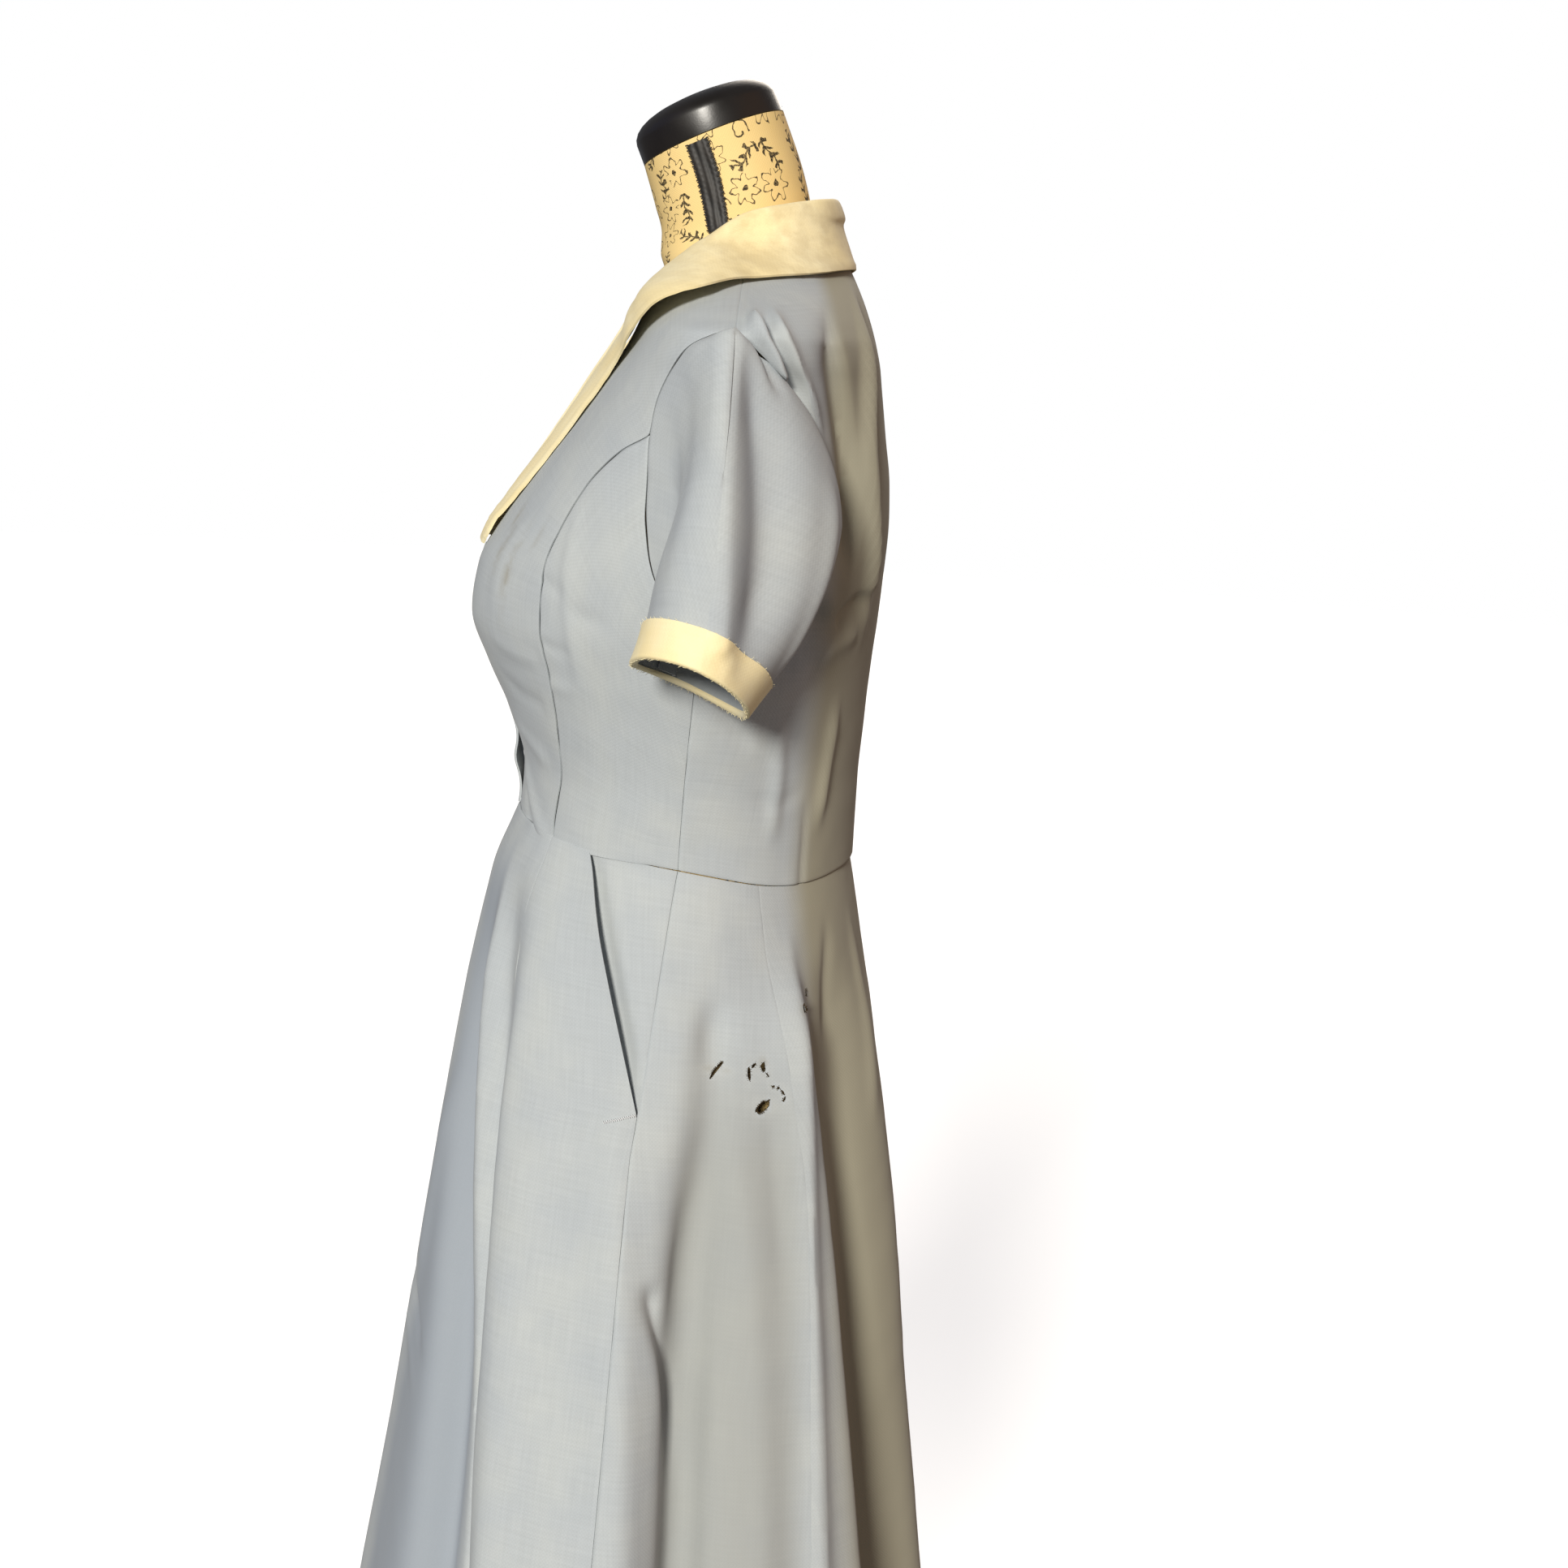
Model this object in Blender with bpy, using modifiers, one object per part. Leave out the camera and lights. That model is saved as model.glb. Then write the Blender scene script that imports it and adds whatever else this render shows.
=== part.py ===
"""Waitress uniform dress with short sleeves and a shawl collar, worn by a limbless dress form on a stand.

Metres, +Z up. The origin is on the floor, on the axis of the stand's pole. The front faces -Y and
the wearer's left side faces +X. A turn is an angle round the body: 0 at the centre front,
90 degrees at the wearer's left side, 180 at the centre back. A rise is a height above the waist.
"""

import math
from typing import NamedTuple

import bmesh
import bpy
import numpy as np

# Heights and thicknesses that drive the rest
WAIST = 1.040
WAIST_TILT = 0.0108
CLOTH = 0.0015
COLLAR_CLOTH = 0.0018
CUFF_CLOTH = 0.0020
SEAM = 0.0003
SKIRT_LENGTH = 0.620
STEP = 1e-4

# Seams, as turns in degrees and rises in metres
UNDERARM = (90.0, 0.150)
SHOULDER_TIP = (90.0, 0.316)
NECK_SIDE = (90.0, 0.360)
NAPE = (180.0, 0.374)
BREAK_POINT = (1.0, 0.186)
PRINCESS_WAIST = 44.0

# Pocket slit, which runs slantwise from the waist seam to the side seam
POCKET_TOP = 56.5
POCKET_DEPTH = 0.148
POCKET_UNDERLAP = 7.0
POCKET_GAPE = 0.0030
POCKET_INSET = 0.0024

# Placket band down the centre front
BAND_HALF_WIDTH = 0.014
BAND_TOP = 0.178
BAND_LIFT = 0.0011
BAND_GAPE_AT = 0.043
BAND_GAPE = 0.0035

# Braid down each side of the form's neck
BRAID_TURN = 77.0
BRAID_HALF_TURN = 7.0
BRAID_FROM = 0.376
BRAID_TO = 0.431
BRAID_CLOTH = 0.0010
BRAID_GAP = 0.0011

# Stand of the dress form
POLE_RADIUS = 0.0145
BASE_RADIUS = 0.180
BASE_HEIGHT = 0.022
FLANGE_RADIUS = 0.046
FLANGE_HEIGHT = 0.008
SOCKET_RADIUS = 0.027
SOCKET_HEIGHT = 0.034
SOCKET_BEVEL = 0.008
BASE_BEVEL = 0.006
BASE_EASE = 0.003

# Colours as linear RGB, with roughness
BLUE_COTTON = ("blue_cotton", (0.42, 0.46, 0.49), 0.85)
CREAM_COTTON = ("cream_cotton", (0.86, 0.76, 0.50), 0.80)
FORM_LINEN = ("form_linen", (0.80, 0.64, 0.38), 0.75)
BLACK_TRIM = ("black_trim", (0.012, 0.010, 0.010), 0.65)
BLACK_STEEL = ("black_steel", (0.020, 0.020, 0.022), 0.40)


class Section(NamedTuple):
    """A level cut through the body: half width, where along y it is widest, and how far it reaches."""

    rise: float
    half_width: float
    side_y: float
    front: float
    back: float
    tilt: float = 0.0


class Fold(NamedTuple):
    """A skirt fold: its turn at the waist, how far that swings towards the hem, the drop where it begins,
    its height at the hem, its two flanks in degrees and how far its crest leans towards the front."""

    turn: float
    swing: float
    start: float
    height: float
    front_flank: float
    back_flank: float
    lean: float = 0.0


class Hole(NamedTuple):
    """A hole worn or torn through the skirt: its turn and drop, its length, width and slant in degrees."""

    turn: float
    drop: float
    length: float
    width: float
    slant: float


class Station(NamedTuple):
    """A cut across the collar: where it is sewn on, where it folds and where its edge lies, each as a turn
    and a rise on the bodice, and how far the fold and the edge are lifted off it."""

    seam_turn: float
    seam_rise: float
    fold_turn: float
    fold_rise: float
    fold_lift: float
    edge_turn: float
    edge_rise: float
    edge_lift: float


BODICE = (
    Section(-0.020, 0.1275, 0.000, 0.1140, 0.1080),
    Section(0.000, 0.1265, 0.000, 0.1115, 0.1075),
    Section(0.040, 0.1300, 0.001, 0.1090, 0.1075),
    Section(0.080, 0.1390, 0.003, 0.1210, 0.1090),
    Section(0.110, 0.1480, 0.005, 0.1340, 0.1105),
    Section(0.140, 0.1560, 0.007, 0.1430, 0.1130),
    Section(0.170, 0.1610, 0.009, 0.1400, 0.1150),
    Section(0.200, 0.1640, 0.011, 0.1255, 0.1165),
    Section(0.230, 0.1670, 0.013, 0.1060, 0.1150),
    Section(0.260, 0.1700, 0.015, 0.0850, 0.1105),
    Section(0.290, 0.1755, 0.017, 0.0645, 0.1060),
    Section(0.302, 0.1790, 0.018, 0.0560, 0.1040),
    Section(0.312, 0.1775, 0.019, 0.0505, 0.1015),
    Section(0.322, 0.1610, 0.019, 0.0465, 0.0985),
    Section(0.333, 0.1360, 0.019, 0.0425, 0.0945),
    Section(0.345, 0.1070, 0.019, 0.0395, 0.0895),
    Section(0.358, 0.0780, 0.019, 0.0370, 0.0830),
    Section(0.372, 0.0620, 0.019, 0.0345, 0.0745),
    Section(0.386, 0.0550, 0.019, 0.0325, 0.0660),
)

SKIRT = (
    Section(0.000, 0.1265, 0.000, 0.1115, 0.1055),
    Section(0.040, 0.1430, 0.000, 0.1270, 0.1140),
    Section(0.070, 0.1540, 0.000, 0.1325, 0.1205),
    Section(0.100, 0.1650, 0.000, 0.1370, 0.1270),
    Section(0.160, 0.1830, 0.000, 0.1455, 0.1375),
    Section(0.220, 0.1990, 0.000, 0.1530, 0.1460),
    Section(0.280, 0.2140, 0.000, 0.1600, 0.1530),
    Section(0.350, 0.2300, 0.000, 0.1680, 0.1610),
    Section(0.450, 0.2520, 0.000, 0.1810, 0.1740),
    Section(0.550, 0.2720, 0.000, 0.1950, 0.1870),
    Section(0.620, 0.2860, 0.000, 0.2060, 0.1970),
)

FOLDS = (
    Fold(3, 0, 0.04, 0.010, 13, 12),
    Fold(29, 24, 0.004, -0.045, 11, 9),
    Fold(46, 26, 0.004, 0.024, 9, 17, 0.012),
    Fold(84, 3, 0.10, 0.011, 9, 7),
    Fold(106, -6, 0.04, -0.026, 7, 8),
    Fold(124, 14, 0.03, 0.022, 10, 7, -0.012),
    Fold(141, 15, 0.03, -0.032, 7, 8),
    Fold(160, 8, 0.04, 0.014, 9, 8),
    Fold(174, 4, 0.08, -0.006, 6, 6),
    Fold(-24, -6, 0.03, -0.026, 10, 10),
    Fold(-46, -8, 0.02, 0.020, 10, 12, 0.006),
    Fold(-77, 0, 0.05, -0.019, 10, 10),
    Fold(-97, 0, 0.06, 0.015, 11, 10),
    Fold(-118, -5, 0.04, -0.024, 9, 10),
    Fold(-141, -5, 0.05, 0.018, 10, 10, -0.005),
    Fold(-164, 0, 0.05, -0.014, 8, 8),
)
FOLD_GROWTH = 0.62
FOLD_ONSET = 0.035
SWING_GROWTH = 0.6

# Seams of the skirt, as (drop, turn)
FRONT_GORE_SEAM = ((0.0, 44.0), (0.15, 46.0), (0.35, 50.0), (0.62, 52.0))
BACK_GORE_SEAM = ((0.0, 117.5), (0.116, 122.0), (0.200, 124.0), (0.62, 125.0))

HOLES = (
    Hole(104.5, 0.1085, 0.0085, 0.0034, 38.0),
    Hole(113.6, 0.1030, 0.0052, 0.0046, 20.0),
    Hole(116.6, 0.1035, 0.0048, 0.0042, -15.0),
    Hole(114.6, 0.1185, 0.0088, 0.0058, -28.0),
    Hole(130.2, 0.0725, 0.0052, 0.0042, 10.0),
)
HOLE_SIDES = 9
HOLE_JAG = 0.16

FORM = (
    Section(-0.230, 0.1480, -0.002, 0.1060, 0.1100),
    Section(-0.200, 0.1590, -0.002, 0.1130, 0.1180),
    Section(-0.150, 0.1620, -0.002, 0.1160, 0.1190),
    Section(-0.100, 0.1500, 0.000, 0.1110, 0.1110),
    Section(-0.050, 0.1330, 0.000, 0.1060, 0.1020),
    Section(0.000, 0.1175, 0.000, 0.1025, 0.0985),
    Section(0.040, 0.1205, 0.001, 0.1005, 0.0985),
    Section(0.080, 0.1295, 0.003, 0.1120, 0.1000),
    Section(0.110, 0.1380, 0.005, 0.1250, 0.1010),
    Section(0.140, 0.1465, 0.007, 0.1340, 0.1035),
    Section(0.170, 0.1510, 0.009, 0.1310, 0.1055),
    Section(0.200, 0.1540, 0.011, 0.1180, 0.1065),
    Section(0.230, 0.1560, 0.013, 0.0970, 0.1050),
    Section(0.260, 0.1590, 0.015, 0.0765, 0.1005),
    Section(0.285, 0.1615, 0.017, 0.0590, 0.0965),
    Section(0.302, 0.1620, 0.018, 0.0485, 0.0935),
    Section(0.314, 0.1570, 0.019, 0.0430, 0.0905),
    Section(0.3235, 0.1475, 0.019, 0.0395, 0.0880),
    Section(0.3320, 0.1315, 0.019, 0.0370, 0.0850),
    Section(0.3430, 0.1050, 0.019, 0.0345, 0.0805),
    Section(0.3560, 0.0750, 0.018, 0.0345, 0.0720, 1.0),
    Section(0.3680, 0.0570, 0.015, 0.0365, 0.0645, 4.0),
    Section(0.3820, 0.0500, 0.011, 0.0365, 0.0580, 9.0),
    Section(0.4060, 0.0480, 0.005, 0.0415, 0.0490, 16.0),
    Section(0.4340, 0.0475, -0.006, 0.0490, 0.0350, 24.0),
)

# Curves on the bodice, as (turn, rise)
FRONT_ARMHOLE_TOP = ((90, 0.316), (79, 0.312), (68, 0.3025), (64, 0.281), (66, 0.256))
FRONT_ARMHOLE_LOW = ((66, 0.256), (67.5, 0.232), (70, 0.205), (75, 0.178), (82, 0.158), (90, 0.150))
BACK_ARMHOLE = (
    (90, 0.150), (103, 0.155), (115, 0.172), (123, 0.198), (127, 0.228),
    (125, 0.252), (119, 0.272), (110, 0.289), (100, 0.304), (90, 0.316),
)
PRINCESS = (
    (44, 0.0), (43.5, 0.02), (47, 0.06), (51, 0.108), (50.3, 0.157),
    (49.5, 0.190), (51.5, 0.225), (57, 0.244), (66, 0.256),
)
V_NECK = (
    (1, 0.186), (3, 0.200), (6.2, 0.225), (9.1, 0.255), (12, 0.285),
    (15, 0.315), (22, 0.333), (34, 0.345), (52, 0.354), (90, 0.360),
)
BACK_NECK = ((90, 0.360), (120, 0.3655), (150, 0.3715), (180, 0.374))

# The collar, from the centre back to the lapel's tip
COLLAR = (
    Station(180, 0.3740, 180, 0.4000, 0.0000, 180, 0.3590, 0.0022),
    Station(150, 0.3715, 146, 0.3985, 0.0030, 151, 0.3560, 0.0024),
    Station(120, 0.3655, 117, 0.3935, 0.0050, 122, 0.3490, 0.0028),
    Station(90, 0.3600, 86, 0.3800, 0.0075, 93, 0.3430, 0.0040),
    Station(52, 0.3540, 58, 0.3620, 0.0045, 74, 0.3310, 0.0085),
    Station(34, 0.3450, 35, 0.3450, 0.0056, 55, 0.3205, 0.0105),
    Station(22, 0.3335, 22.0, 0.3335, 0.0080, 40, 0.3080, 0.0095),
    Station(14.6, 0.3125, 14.6, 0.3125, 0.0084, 33, 0.2950, 0.0070),
    Station(11.4, 0.2800, 11.4, 0.2800, 0.0078, 28.6, 0.2750, 0.0050),
    Station(8.4, 0.2480, 8.4, 0.2480, 0.0062, 24.2, 0.2480, 0.0042),
    Station(5.2, 0.2160, 5.2, 0.2160, 0.0052, 19.8, 0.2130, 0.0040),
    Station(3.0, 0.1985, 3.0, 0.1985, 0.0068, 15.0, 0.1950, 0.0040),
    Station(2.0, 0.1915, 2.0, 0.1915, 0.0080, 10.5, 0.1870, 0.0044),
    Station(1.4, 0.1880, 1.4, 0.1880, 0.0088, 6.0, 0.1825, 0.0050),
)
COLLAR_STEP = 0.65
COLLAR_FOLD_RADIUS = 0.0038
COLLAR_LEAST_LIFT = 0.0036
COLLAR_GAP = 0.0010
COLLAR_BOW = 0.0022

# The sleeve's opening at the hem, which tips up towards the outside
SLEEVE_HEM_CENTRE = (0.2160, 0.0085, 1.1640)
SLEEVE_HEM_OUTWARDS = (0.0455, 0.0060, 0.0165)
SLEEVE_HEM_FORWARDS = (0.0010, -0.0315, 0.0150)
SLEEVE_RINGS = 10
CUFF_DEPTH = 0.025
CUFF_DROP = 0.0016
CUFF_GAP = 0.0009
CUFF_FLARE = 0.0022
CUFF_ROWS = (0.0, 0.3, 0.65, 1.0)
CUFF_SAMPLES = 41

# Grid counts of the panels
PRINCESS_STEPS = 10
FRONT_TOP_STEPS = 5
ARMHOLE_LOW_STEPS = 6
ARMHOLE_BACK_STEPS = 12
SHOULDER_STEPS = 5
BACK_NECK_STEPS = 5
SKIRT_DROPS = (
    0.0, 0.022, 0.050, 0.082, 0.115, 0.148, 0.190, 0.235,
    0.285, 0.340, 0.400, 0.460, 0.515, 0.570, 0.620,
)
SLIT_ROWS = 6
FORM_SIDES = 36


def cubic(xs, ys, at):
    """A smooth curve through (xs, ys) that doesn't overshoot, read at the given places."""
    xs, ys, at = (np.asarray(v, float) for v in (xs, ys, at))
    gap = np.diff(xs)
    slope = np.diff(ys) / gap
    tangent = np.empty(len(xs))
    tangent[0], tangent[-1] = slope[0], slope[-1]
    same_way = slope[:-1] * slope[1:] > 0
    mean = 2 * slope[:-1] * slope[1:] / np.where(same_way, slope[:-1] + slope[1:], 1.0)
    tangent[1:-1] = np.where(same_way, mean, 0.0)
    i = np.clip(np.searchsorted(xs, at, side="right") - 1, 0, len(gap) - 1)
    t = np.clip((at - xs[i]) / gap[i], 0.0, 1.0)
    h = gap[i]
    return (
        (1 + 2 * t) * (1 - t) ** 2 * ys[i]
        + t * (1 - t) ** 2 * h * tangent[i]
        + t**2 * (3 - 2 * t) * ys[i + 1]
        + t**2 * (t - 1) * h * tangent[i + 1]
    )


def through(points, steps):
    """A smooth line through a few points in any number of dimensions, cut into even steps."""
    points = np.asarray(points, float)
    scale = np.array([0.0028] + [1.0] * (points.shape[1] - 1))
    length = np.concatenate([[0], np.cumsum(np.linalg.norm(np.diff(points, axis=0) * scale, axis=1))])
    at = np.linspace(0, length[-1], steps + 1)
    ahead = np.vstack([2 * points[0] - points[1], points, 2 * points[-1] - points[-2]])
    slope = np.empty_like(points)
    for k in range(len(points)):
        before = length[k] - length[k - 1] if k else length[1] - length[0]
        after = length[k + 1] - length[k] if k + 1 < len(points) else before
        slope[k] = (ahead[k + 2] - ahead[k]) / (before + after)
    i = np.clip(np.searchsorted(length, at, side="right") - 1, 0, len(points) - 2)
    h = (length[i + 1] - length[i])[:, None]
    t = (at[:, None] - length[i][:, None]) / h
    return (
        (1 + 2 * t) * (1 - t) ** 2 * points[i]
        + t * (1 - t) ** 2 * h * slope[i]
        + t**2 * (3 - 2 * t) * points[i + 1]
        + t**2 * (t - 1) * h * slope[i + 1]
    )


def cut(table, rise):
    """The section of a body table at each rise: half width, side y, front, back and tilt."""
    table = np.array(table, float)
    return [cubic(table[:, 0], table[:, k], rise) for k in range(1, table.shape[1])]


def ring_point(table, turn, rise):
    """x, y and rise-to-height shift of a body table's surface at a turn in degrees."""
    half_width, side_y, front, back, tilt = cut(table, rise)
    angle = np.radians(turn)
    reach = np.where(np.cos(angle) >= 0, front + side_y, back - side_y)
    x = half_width * np.sin(angle)
    y = side_y - reach * np.cos(angle)
    return x, y, (y - side_y) * np.tan(np.radians(tilt))


def bodice_surface(turn, rise):
    """The outer face of the bodice, with its two bust cups."""
    turn, rise = np.broadcast_arrays(np.asarray(turn, float), np.asarray(rise, float))
    x, y, _ = ring_point(BODICE, turn, rise)
    front = np.clip(np.cos(np.radians(turn)), 0, 1)
    cup = 0.0065 * np.exp(-(((np.abs(x) - 0.072) / 0.040) ** 2) - ((rise - 0.146) / 0.045) ** 2)
    hollow = 0.0030 * np.exp(-((x / 0.022) ** 2) - ((rise - 0.150) / 0.050) ** 2)
    y = y - (cup - hollow) * front
    return np.stack([x, y, WAIST + rise], -1)


def waist_rise(turn):
    """How far the waist seam lies above its height at the sides."""
    return WAIST_TILT * np.cos(np.radians(turn))


def fold_offset(turn, drop):
    """How far the folds move the skirt out from its plain flare, and how far they lean to the front."""
    out = np.zeros(np.broadcast(turn, drop).shape)
    forwards = out.copy()
    for fold in FOLDS:
        middle = fold.turn + fold.swing * np.clip(drop / SKIRT_LENGTH, 0, 1) ** SWING_GROWTH
        away = (turn - middle + 180.0) % 360.0 - 180.0
        flank = np.where(away * np.sign(fold.turn) < 0, fold.front_flank, fold.back_flank)
        below = np.clip(drop - fold.start, 0, None)
        grown = (below / (SKIRT_LENGTH - fold.start)) ** FOLD_GROWTH * (1 - np.exp(-((below / FOLD_ONSET) ** 2)))
        shape = grown * np.exp(-((away / flank) ** 2))
        out = out + fold.height * shape
        forwards = forwards + fold.lean * np.sign(fold.turn) * shape
    return out, forwards


def skirt_surface(turn, drop):
    """The outer face of the skirt at a turn, a drop below the waist seam."""
    turn, drop = np.broadcast_arrays(np.asarray(turn, float), np.asarray(drop, float))
    half_width, side_y, front, back, _ = cut(SKIRT, drop)
    x, y, _ = ring_point(SKIRT, turn, drop)
    reach = np.where(np.cos(np.radians(turn)) >= 0, front + side_y, back - side_y)
    out = np.stack([x / half_width**2, (y - side_y) / reach**2], -1)
    out = out / np.linalg.norm(out, axis=-1, keepdims=True)
    outwards, forwards = fold_offset(turn, drop)
    aside = np.stack([out[..., 1], -out[..., 0]], -1)
    plan = np.stack([x, y], -1) + out * outwards[..., None] + aside * forwards[..., None]
    z = WAIST + waist_rise(turn) * (1 - drop / SKIRT_LENGTH) - drop
    return np.concatenate([plan, z[..., None]], -1)


def surface_normal(surface, turn, rise, handed):
    """Unit normals of a surface of (turn, rise), pointing outwards."""
    along_turn = surface(turn + 0.05, rise) - surface(turn - 0.05, rise)
    along_rise = surface(turn, rise + STEP) - surface(turn, rise - STEP)
    normal = np.cross(along_turn, along_rise) * handed
    return normal / np.linalg.norm(normal, axis=-1, keepdims=True)


def grid_normal(points, closed):
    """Unit normals of a grid of points, rows along the first axis; closed if each row is a loop."""
    if closed:
        across = np.roll(points, -1, 1) - np.roll(points, 1, 1)
    else:
        across = np.gradient(points, axis=1)
    along = np.gradient(points, axis=0)
    normal = np.cross(across, along)
    return normal / np.maximum(np.linalg.norm(normal, axis=-1, keepdims=True), 1e-12)


def patch(bottom, right, top, left):
    """A grid of (turn, rise) filled between four edges; left and right run upwards."""
    v = np.linspace(0, 1, len(left))[:, None, None]
    u = np.linspace(0, 1, len(bottom))[None, :, None]
    corners = (
        (1 - u) * (1 - v) * bottom[0] + u * (1 - v) * bottom[-1]
        + (1 - u) * v * top[0] + u * v * top[-1]
    )
    edges = (1 - v) * bottom[None] + v * top[None] + (1 - u) * left[:, None] + u * right[:, None]
    return edges - corners


def material(name, colour, roughness):
    """One plain finish, made once."""
    found = bpy.data.materials.get(name)
    if found is None:
        found = bpy.data.materials.new(name)
        found.use_nodes = True
        shader = found.node_tree.nodes["Principled BSDF"]
        shader.inputs["Base Color"].default_value = (*colour, 1.0)
        shader.inputs["Roughness"].default_value = roughness
    return found


def add_object(name, points, faces, finish):
    """A named object from points and faces, in the dress's collection."""
    mesh = bpy.data.meshes.new(name)
    mesh.from_pydata([tuple(p) for p in points], [], faces)
    mesh.materials.append(material(*finish))
    mesh.shade_smooth()
    mesh.set_sharp_from_angle(angle=math.radians(50))
    made = bpy.data.objects.new(name, mesh)
    bpy.data.collections["waitress_dress"].objects.link(made)
    return made


def wall(name, outer, normal, thickness, finish, closed=False):
    """A cloth wall: the outer grid, the same grid moved in by the thickness, and rims that join them.

    The normals are those of the whole garment's surface, so that neighbours stay a seam's width apart
    right through their thickness, which a separate offset of each panel would not give.
    """
    rows, columns = outer.shape[:2]
    inner = outer - normal * thickness
    points = np.concatenate([outer.reshape(-1, 3), inner.reshape(-1, 3)])
    count = rows * columns
    faces = []
    spans = columns if closed else columns - 1
    for r in range(rows - 1):
        for c in range(spans):
            d = (c + 1) % columns
            quad = (r * columns + c, r * columns + d, (r + 1) * columns + d, (r + 1) * columns + c)
            faces.append(quad)
            faces.append(tuple(count + k for k in reversed(quad)))
    for c in range(spans):
        d = (c + 1) % columns
        last = (rows - 1) * columns
        faces.append((d, c, count + c, count + d))
        faces.append((last + c, last + d, count + last + d, count + last + c))
    if not closed:
        for r in range(rows - 1):
            a, b = r * columns, (r + 1) * columns
            e = columns - 1
            faces.append((a, b, count + b, count + a))
            faces.append((b + e, a + e, count + a + e, count + b + e))
    return add_object(name, points, faces, finish)


def trimmed(points, normal):
    """A grid drawn in by half a seam on all four edges, in its own surface."""
    out = points.copy()
    for axis in (0, 1):
        for edge, neighbour in ((0, 1), (-1, -2)):
            rim = np.take(points, edge, axis)
            inward = np.take(points, neighbour, axis) - rim
            n = np.take(normal, edge, axis)
            along = np.gradient(rim, axis=0)
            across = np.cross(n, along)
            across /= np.linalg.norm(across, axis=-1, keepdims=True)
            across *= np.sign((across * inward).sum(-1, keepdims=True))
            index = (edge, slice(None)) if axis == 0 else (slice(None), edge)
            out[index] = out[index] + across * (SEAM / 2)
    return out


def mirrored(points, side):
    """Points on the wearer's left, or the same points on the right with their columns turned round."""
    if side > 0:
        return points
    flipped = points[:, ::-1].copy()
    flipped[..., 0] *= -1
    return flipped


def bodice_wall(name, grid, side):
    """A bodice panel from a grid of (turn, rise) on the wearer's left."""
    outer = bodice_surface(grid[..., 0], grid[..., 1])
    normal = surface_normal(bodice_surface, grid[..., 0], grid[..., 1], 1)
    outer = trimmed(outer, normal)
    return wall(name, mirrored(outer, side), mirrored(normal, side), CLOTH, BLUE_COTTON)


def waist_line(first, last, steps):
    """The waist seam between two turns, as (turn, rise)."""
    turn = np.linspace(first, last, steps + 1)
    return np.stack([turn, waist_rise(turn)], -1)


def princess_line():
    """The front princess seam, from the waist to the armhole."""
    line = through(PRINCESS, PRINCESS_STEPS)
    line[0] = (PRINCESS_WAIST, waist_rise(PRINCESS_WAIST))
    return line


def side_line():
    """The side seam of the bodice, from the waist to the underarm."""
    return np.stack([np.full(PRINCESS_STEPS + 1, 90.0), np.linspace(0, UNDERARM[1], PRINCESS_STEPS + 1)], -1)


def front_edge():
    """The centre front from the waist to the break point, and on up the V of the neck."""
    steps = PRINCESS_STEPS + FRONT_TOP_STEPS
    below = 6
    centre = np.stack([np.zeros(below), np.linspace(waist_rise(0.0), BREAK_POINT[1], below + 1)[:-1]], -1)
    return np.concatenate([centre, through(V_NECK, steps - below)])


def make_bodice():
    """Two centre fronts, two side fronts and the back."""
    princess = princess_line()
    armhole_top = through(FRONT_ARMHOLE_TOP, FRONT_TOP_STEPS)[::-1]
    shoulder = np.linspace(NECK_SIDE, SHOULDER_TIP, SHOULDER_STEPS + 1)
    front = patch(
        waist_line(0.0, PRINCESS_WAIST, SHOULDER_STEPS),
        np.concatenate([princess, armhole_top[1:]]),
        shoulder,
        front_edge(),
    )
    side_front = patch(
        waist_line(PRINCESS_WAIST, 90.0, ARMHOLE_LOW_STEPS),
        side_line(),
        through(FRONT_ARMHOLE_LOW, ARMHOLE_LOW_STEPS),
        princess,
    )
    for word, side in (("left", 1), ("right", -1)):
        bodice_wall(f"bodice_front_{word}", front, side)
        bodice_wall(f"bodice_side_front_{word}", side_front, side)
    left = np.concatenate([side_line(), through(BACK_ARMHOLE, ARMHOLE_BACK_STEPS)[1:]])
    half_top = np.concatenate([shoulder[::-1], through(BACK_NECK, BACK_NECK_STEPS)[1:]])
    top = np.concatenate([half_top, (half_top * (-1, 1) + (360, 0))[-2::-1]])
    right = left * (-1, 1) + (360, 0)
    back = patch(waist_line(90.0, 270.0, len(top) - 1), right, top, left)
    bodice_wall("bodice_back", back, 1)


def make_collar():
    """The shawl collar in one piece, from one lapel's tip round the neck to the other."""
    cuts = np.stack([collar_cut(station) for station in COLLAR])
    at = np.arange(0.0, len(COLLAR) - 1 + COLLAR_STEP / 2, COLLAR_STEP)
    at[-1] = len(COLLAR) - 1
    half = between(cuts, at)
    grid = np.concatenate([half[:0:-1], half * (-1, 1, 1)]).transpose(1, 0, 2)
    made = wall("collar", grid, -grid_normal(grid, False), COLLAR_CLOTH, CREAM_COTTON)
    face_out(made)


def between(cuts, at):
    """Cuts read at fractions between the given ones, smoothly."""
    start = cuts[1] * (-1, 1, 1)
    ahead = np.concatenate([start[None], cuts, (2 * cuts[-1] - cuts[-2])[None]])
    i = np.minimum(at.astype(int), len(cuts) - 2)
    t = (at - i)[:, None, None]
    before, first, last, after = ahead[i], ahead[i + 1], ahead[i + 2], ahead[i + 3]
    return (
        (1 + 2 * t) * (1 - t) ** 2 * first
        + t * (1 - t) ** 2 * (last - before) / 2
        + t**2 * (3 - 2 * t) * last
        + t**2 * (t - 1) * (after - first) / 2
    )


def over_bodice(turn, rise, lift):
    """A point lifted off the bodice's outer face."""
    turn, rise = np.float64(turn), np.float64(rise)
    return bodice_surface(turn, rise) + surface_normal(bodice_surface, turn, rise, 1) * lift


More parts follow.
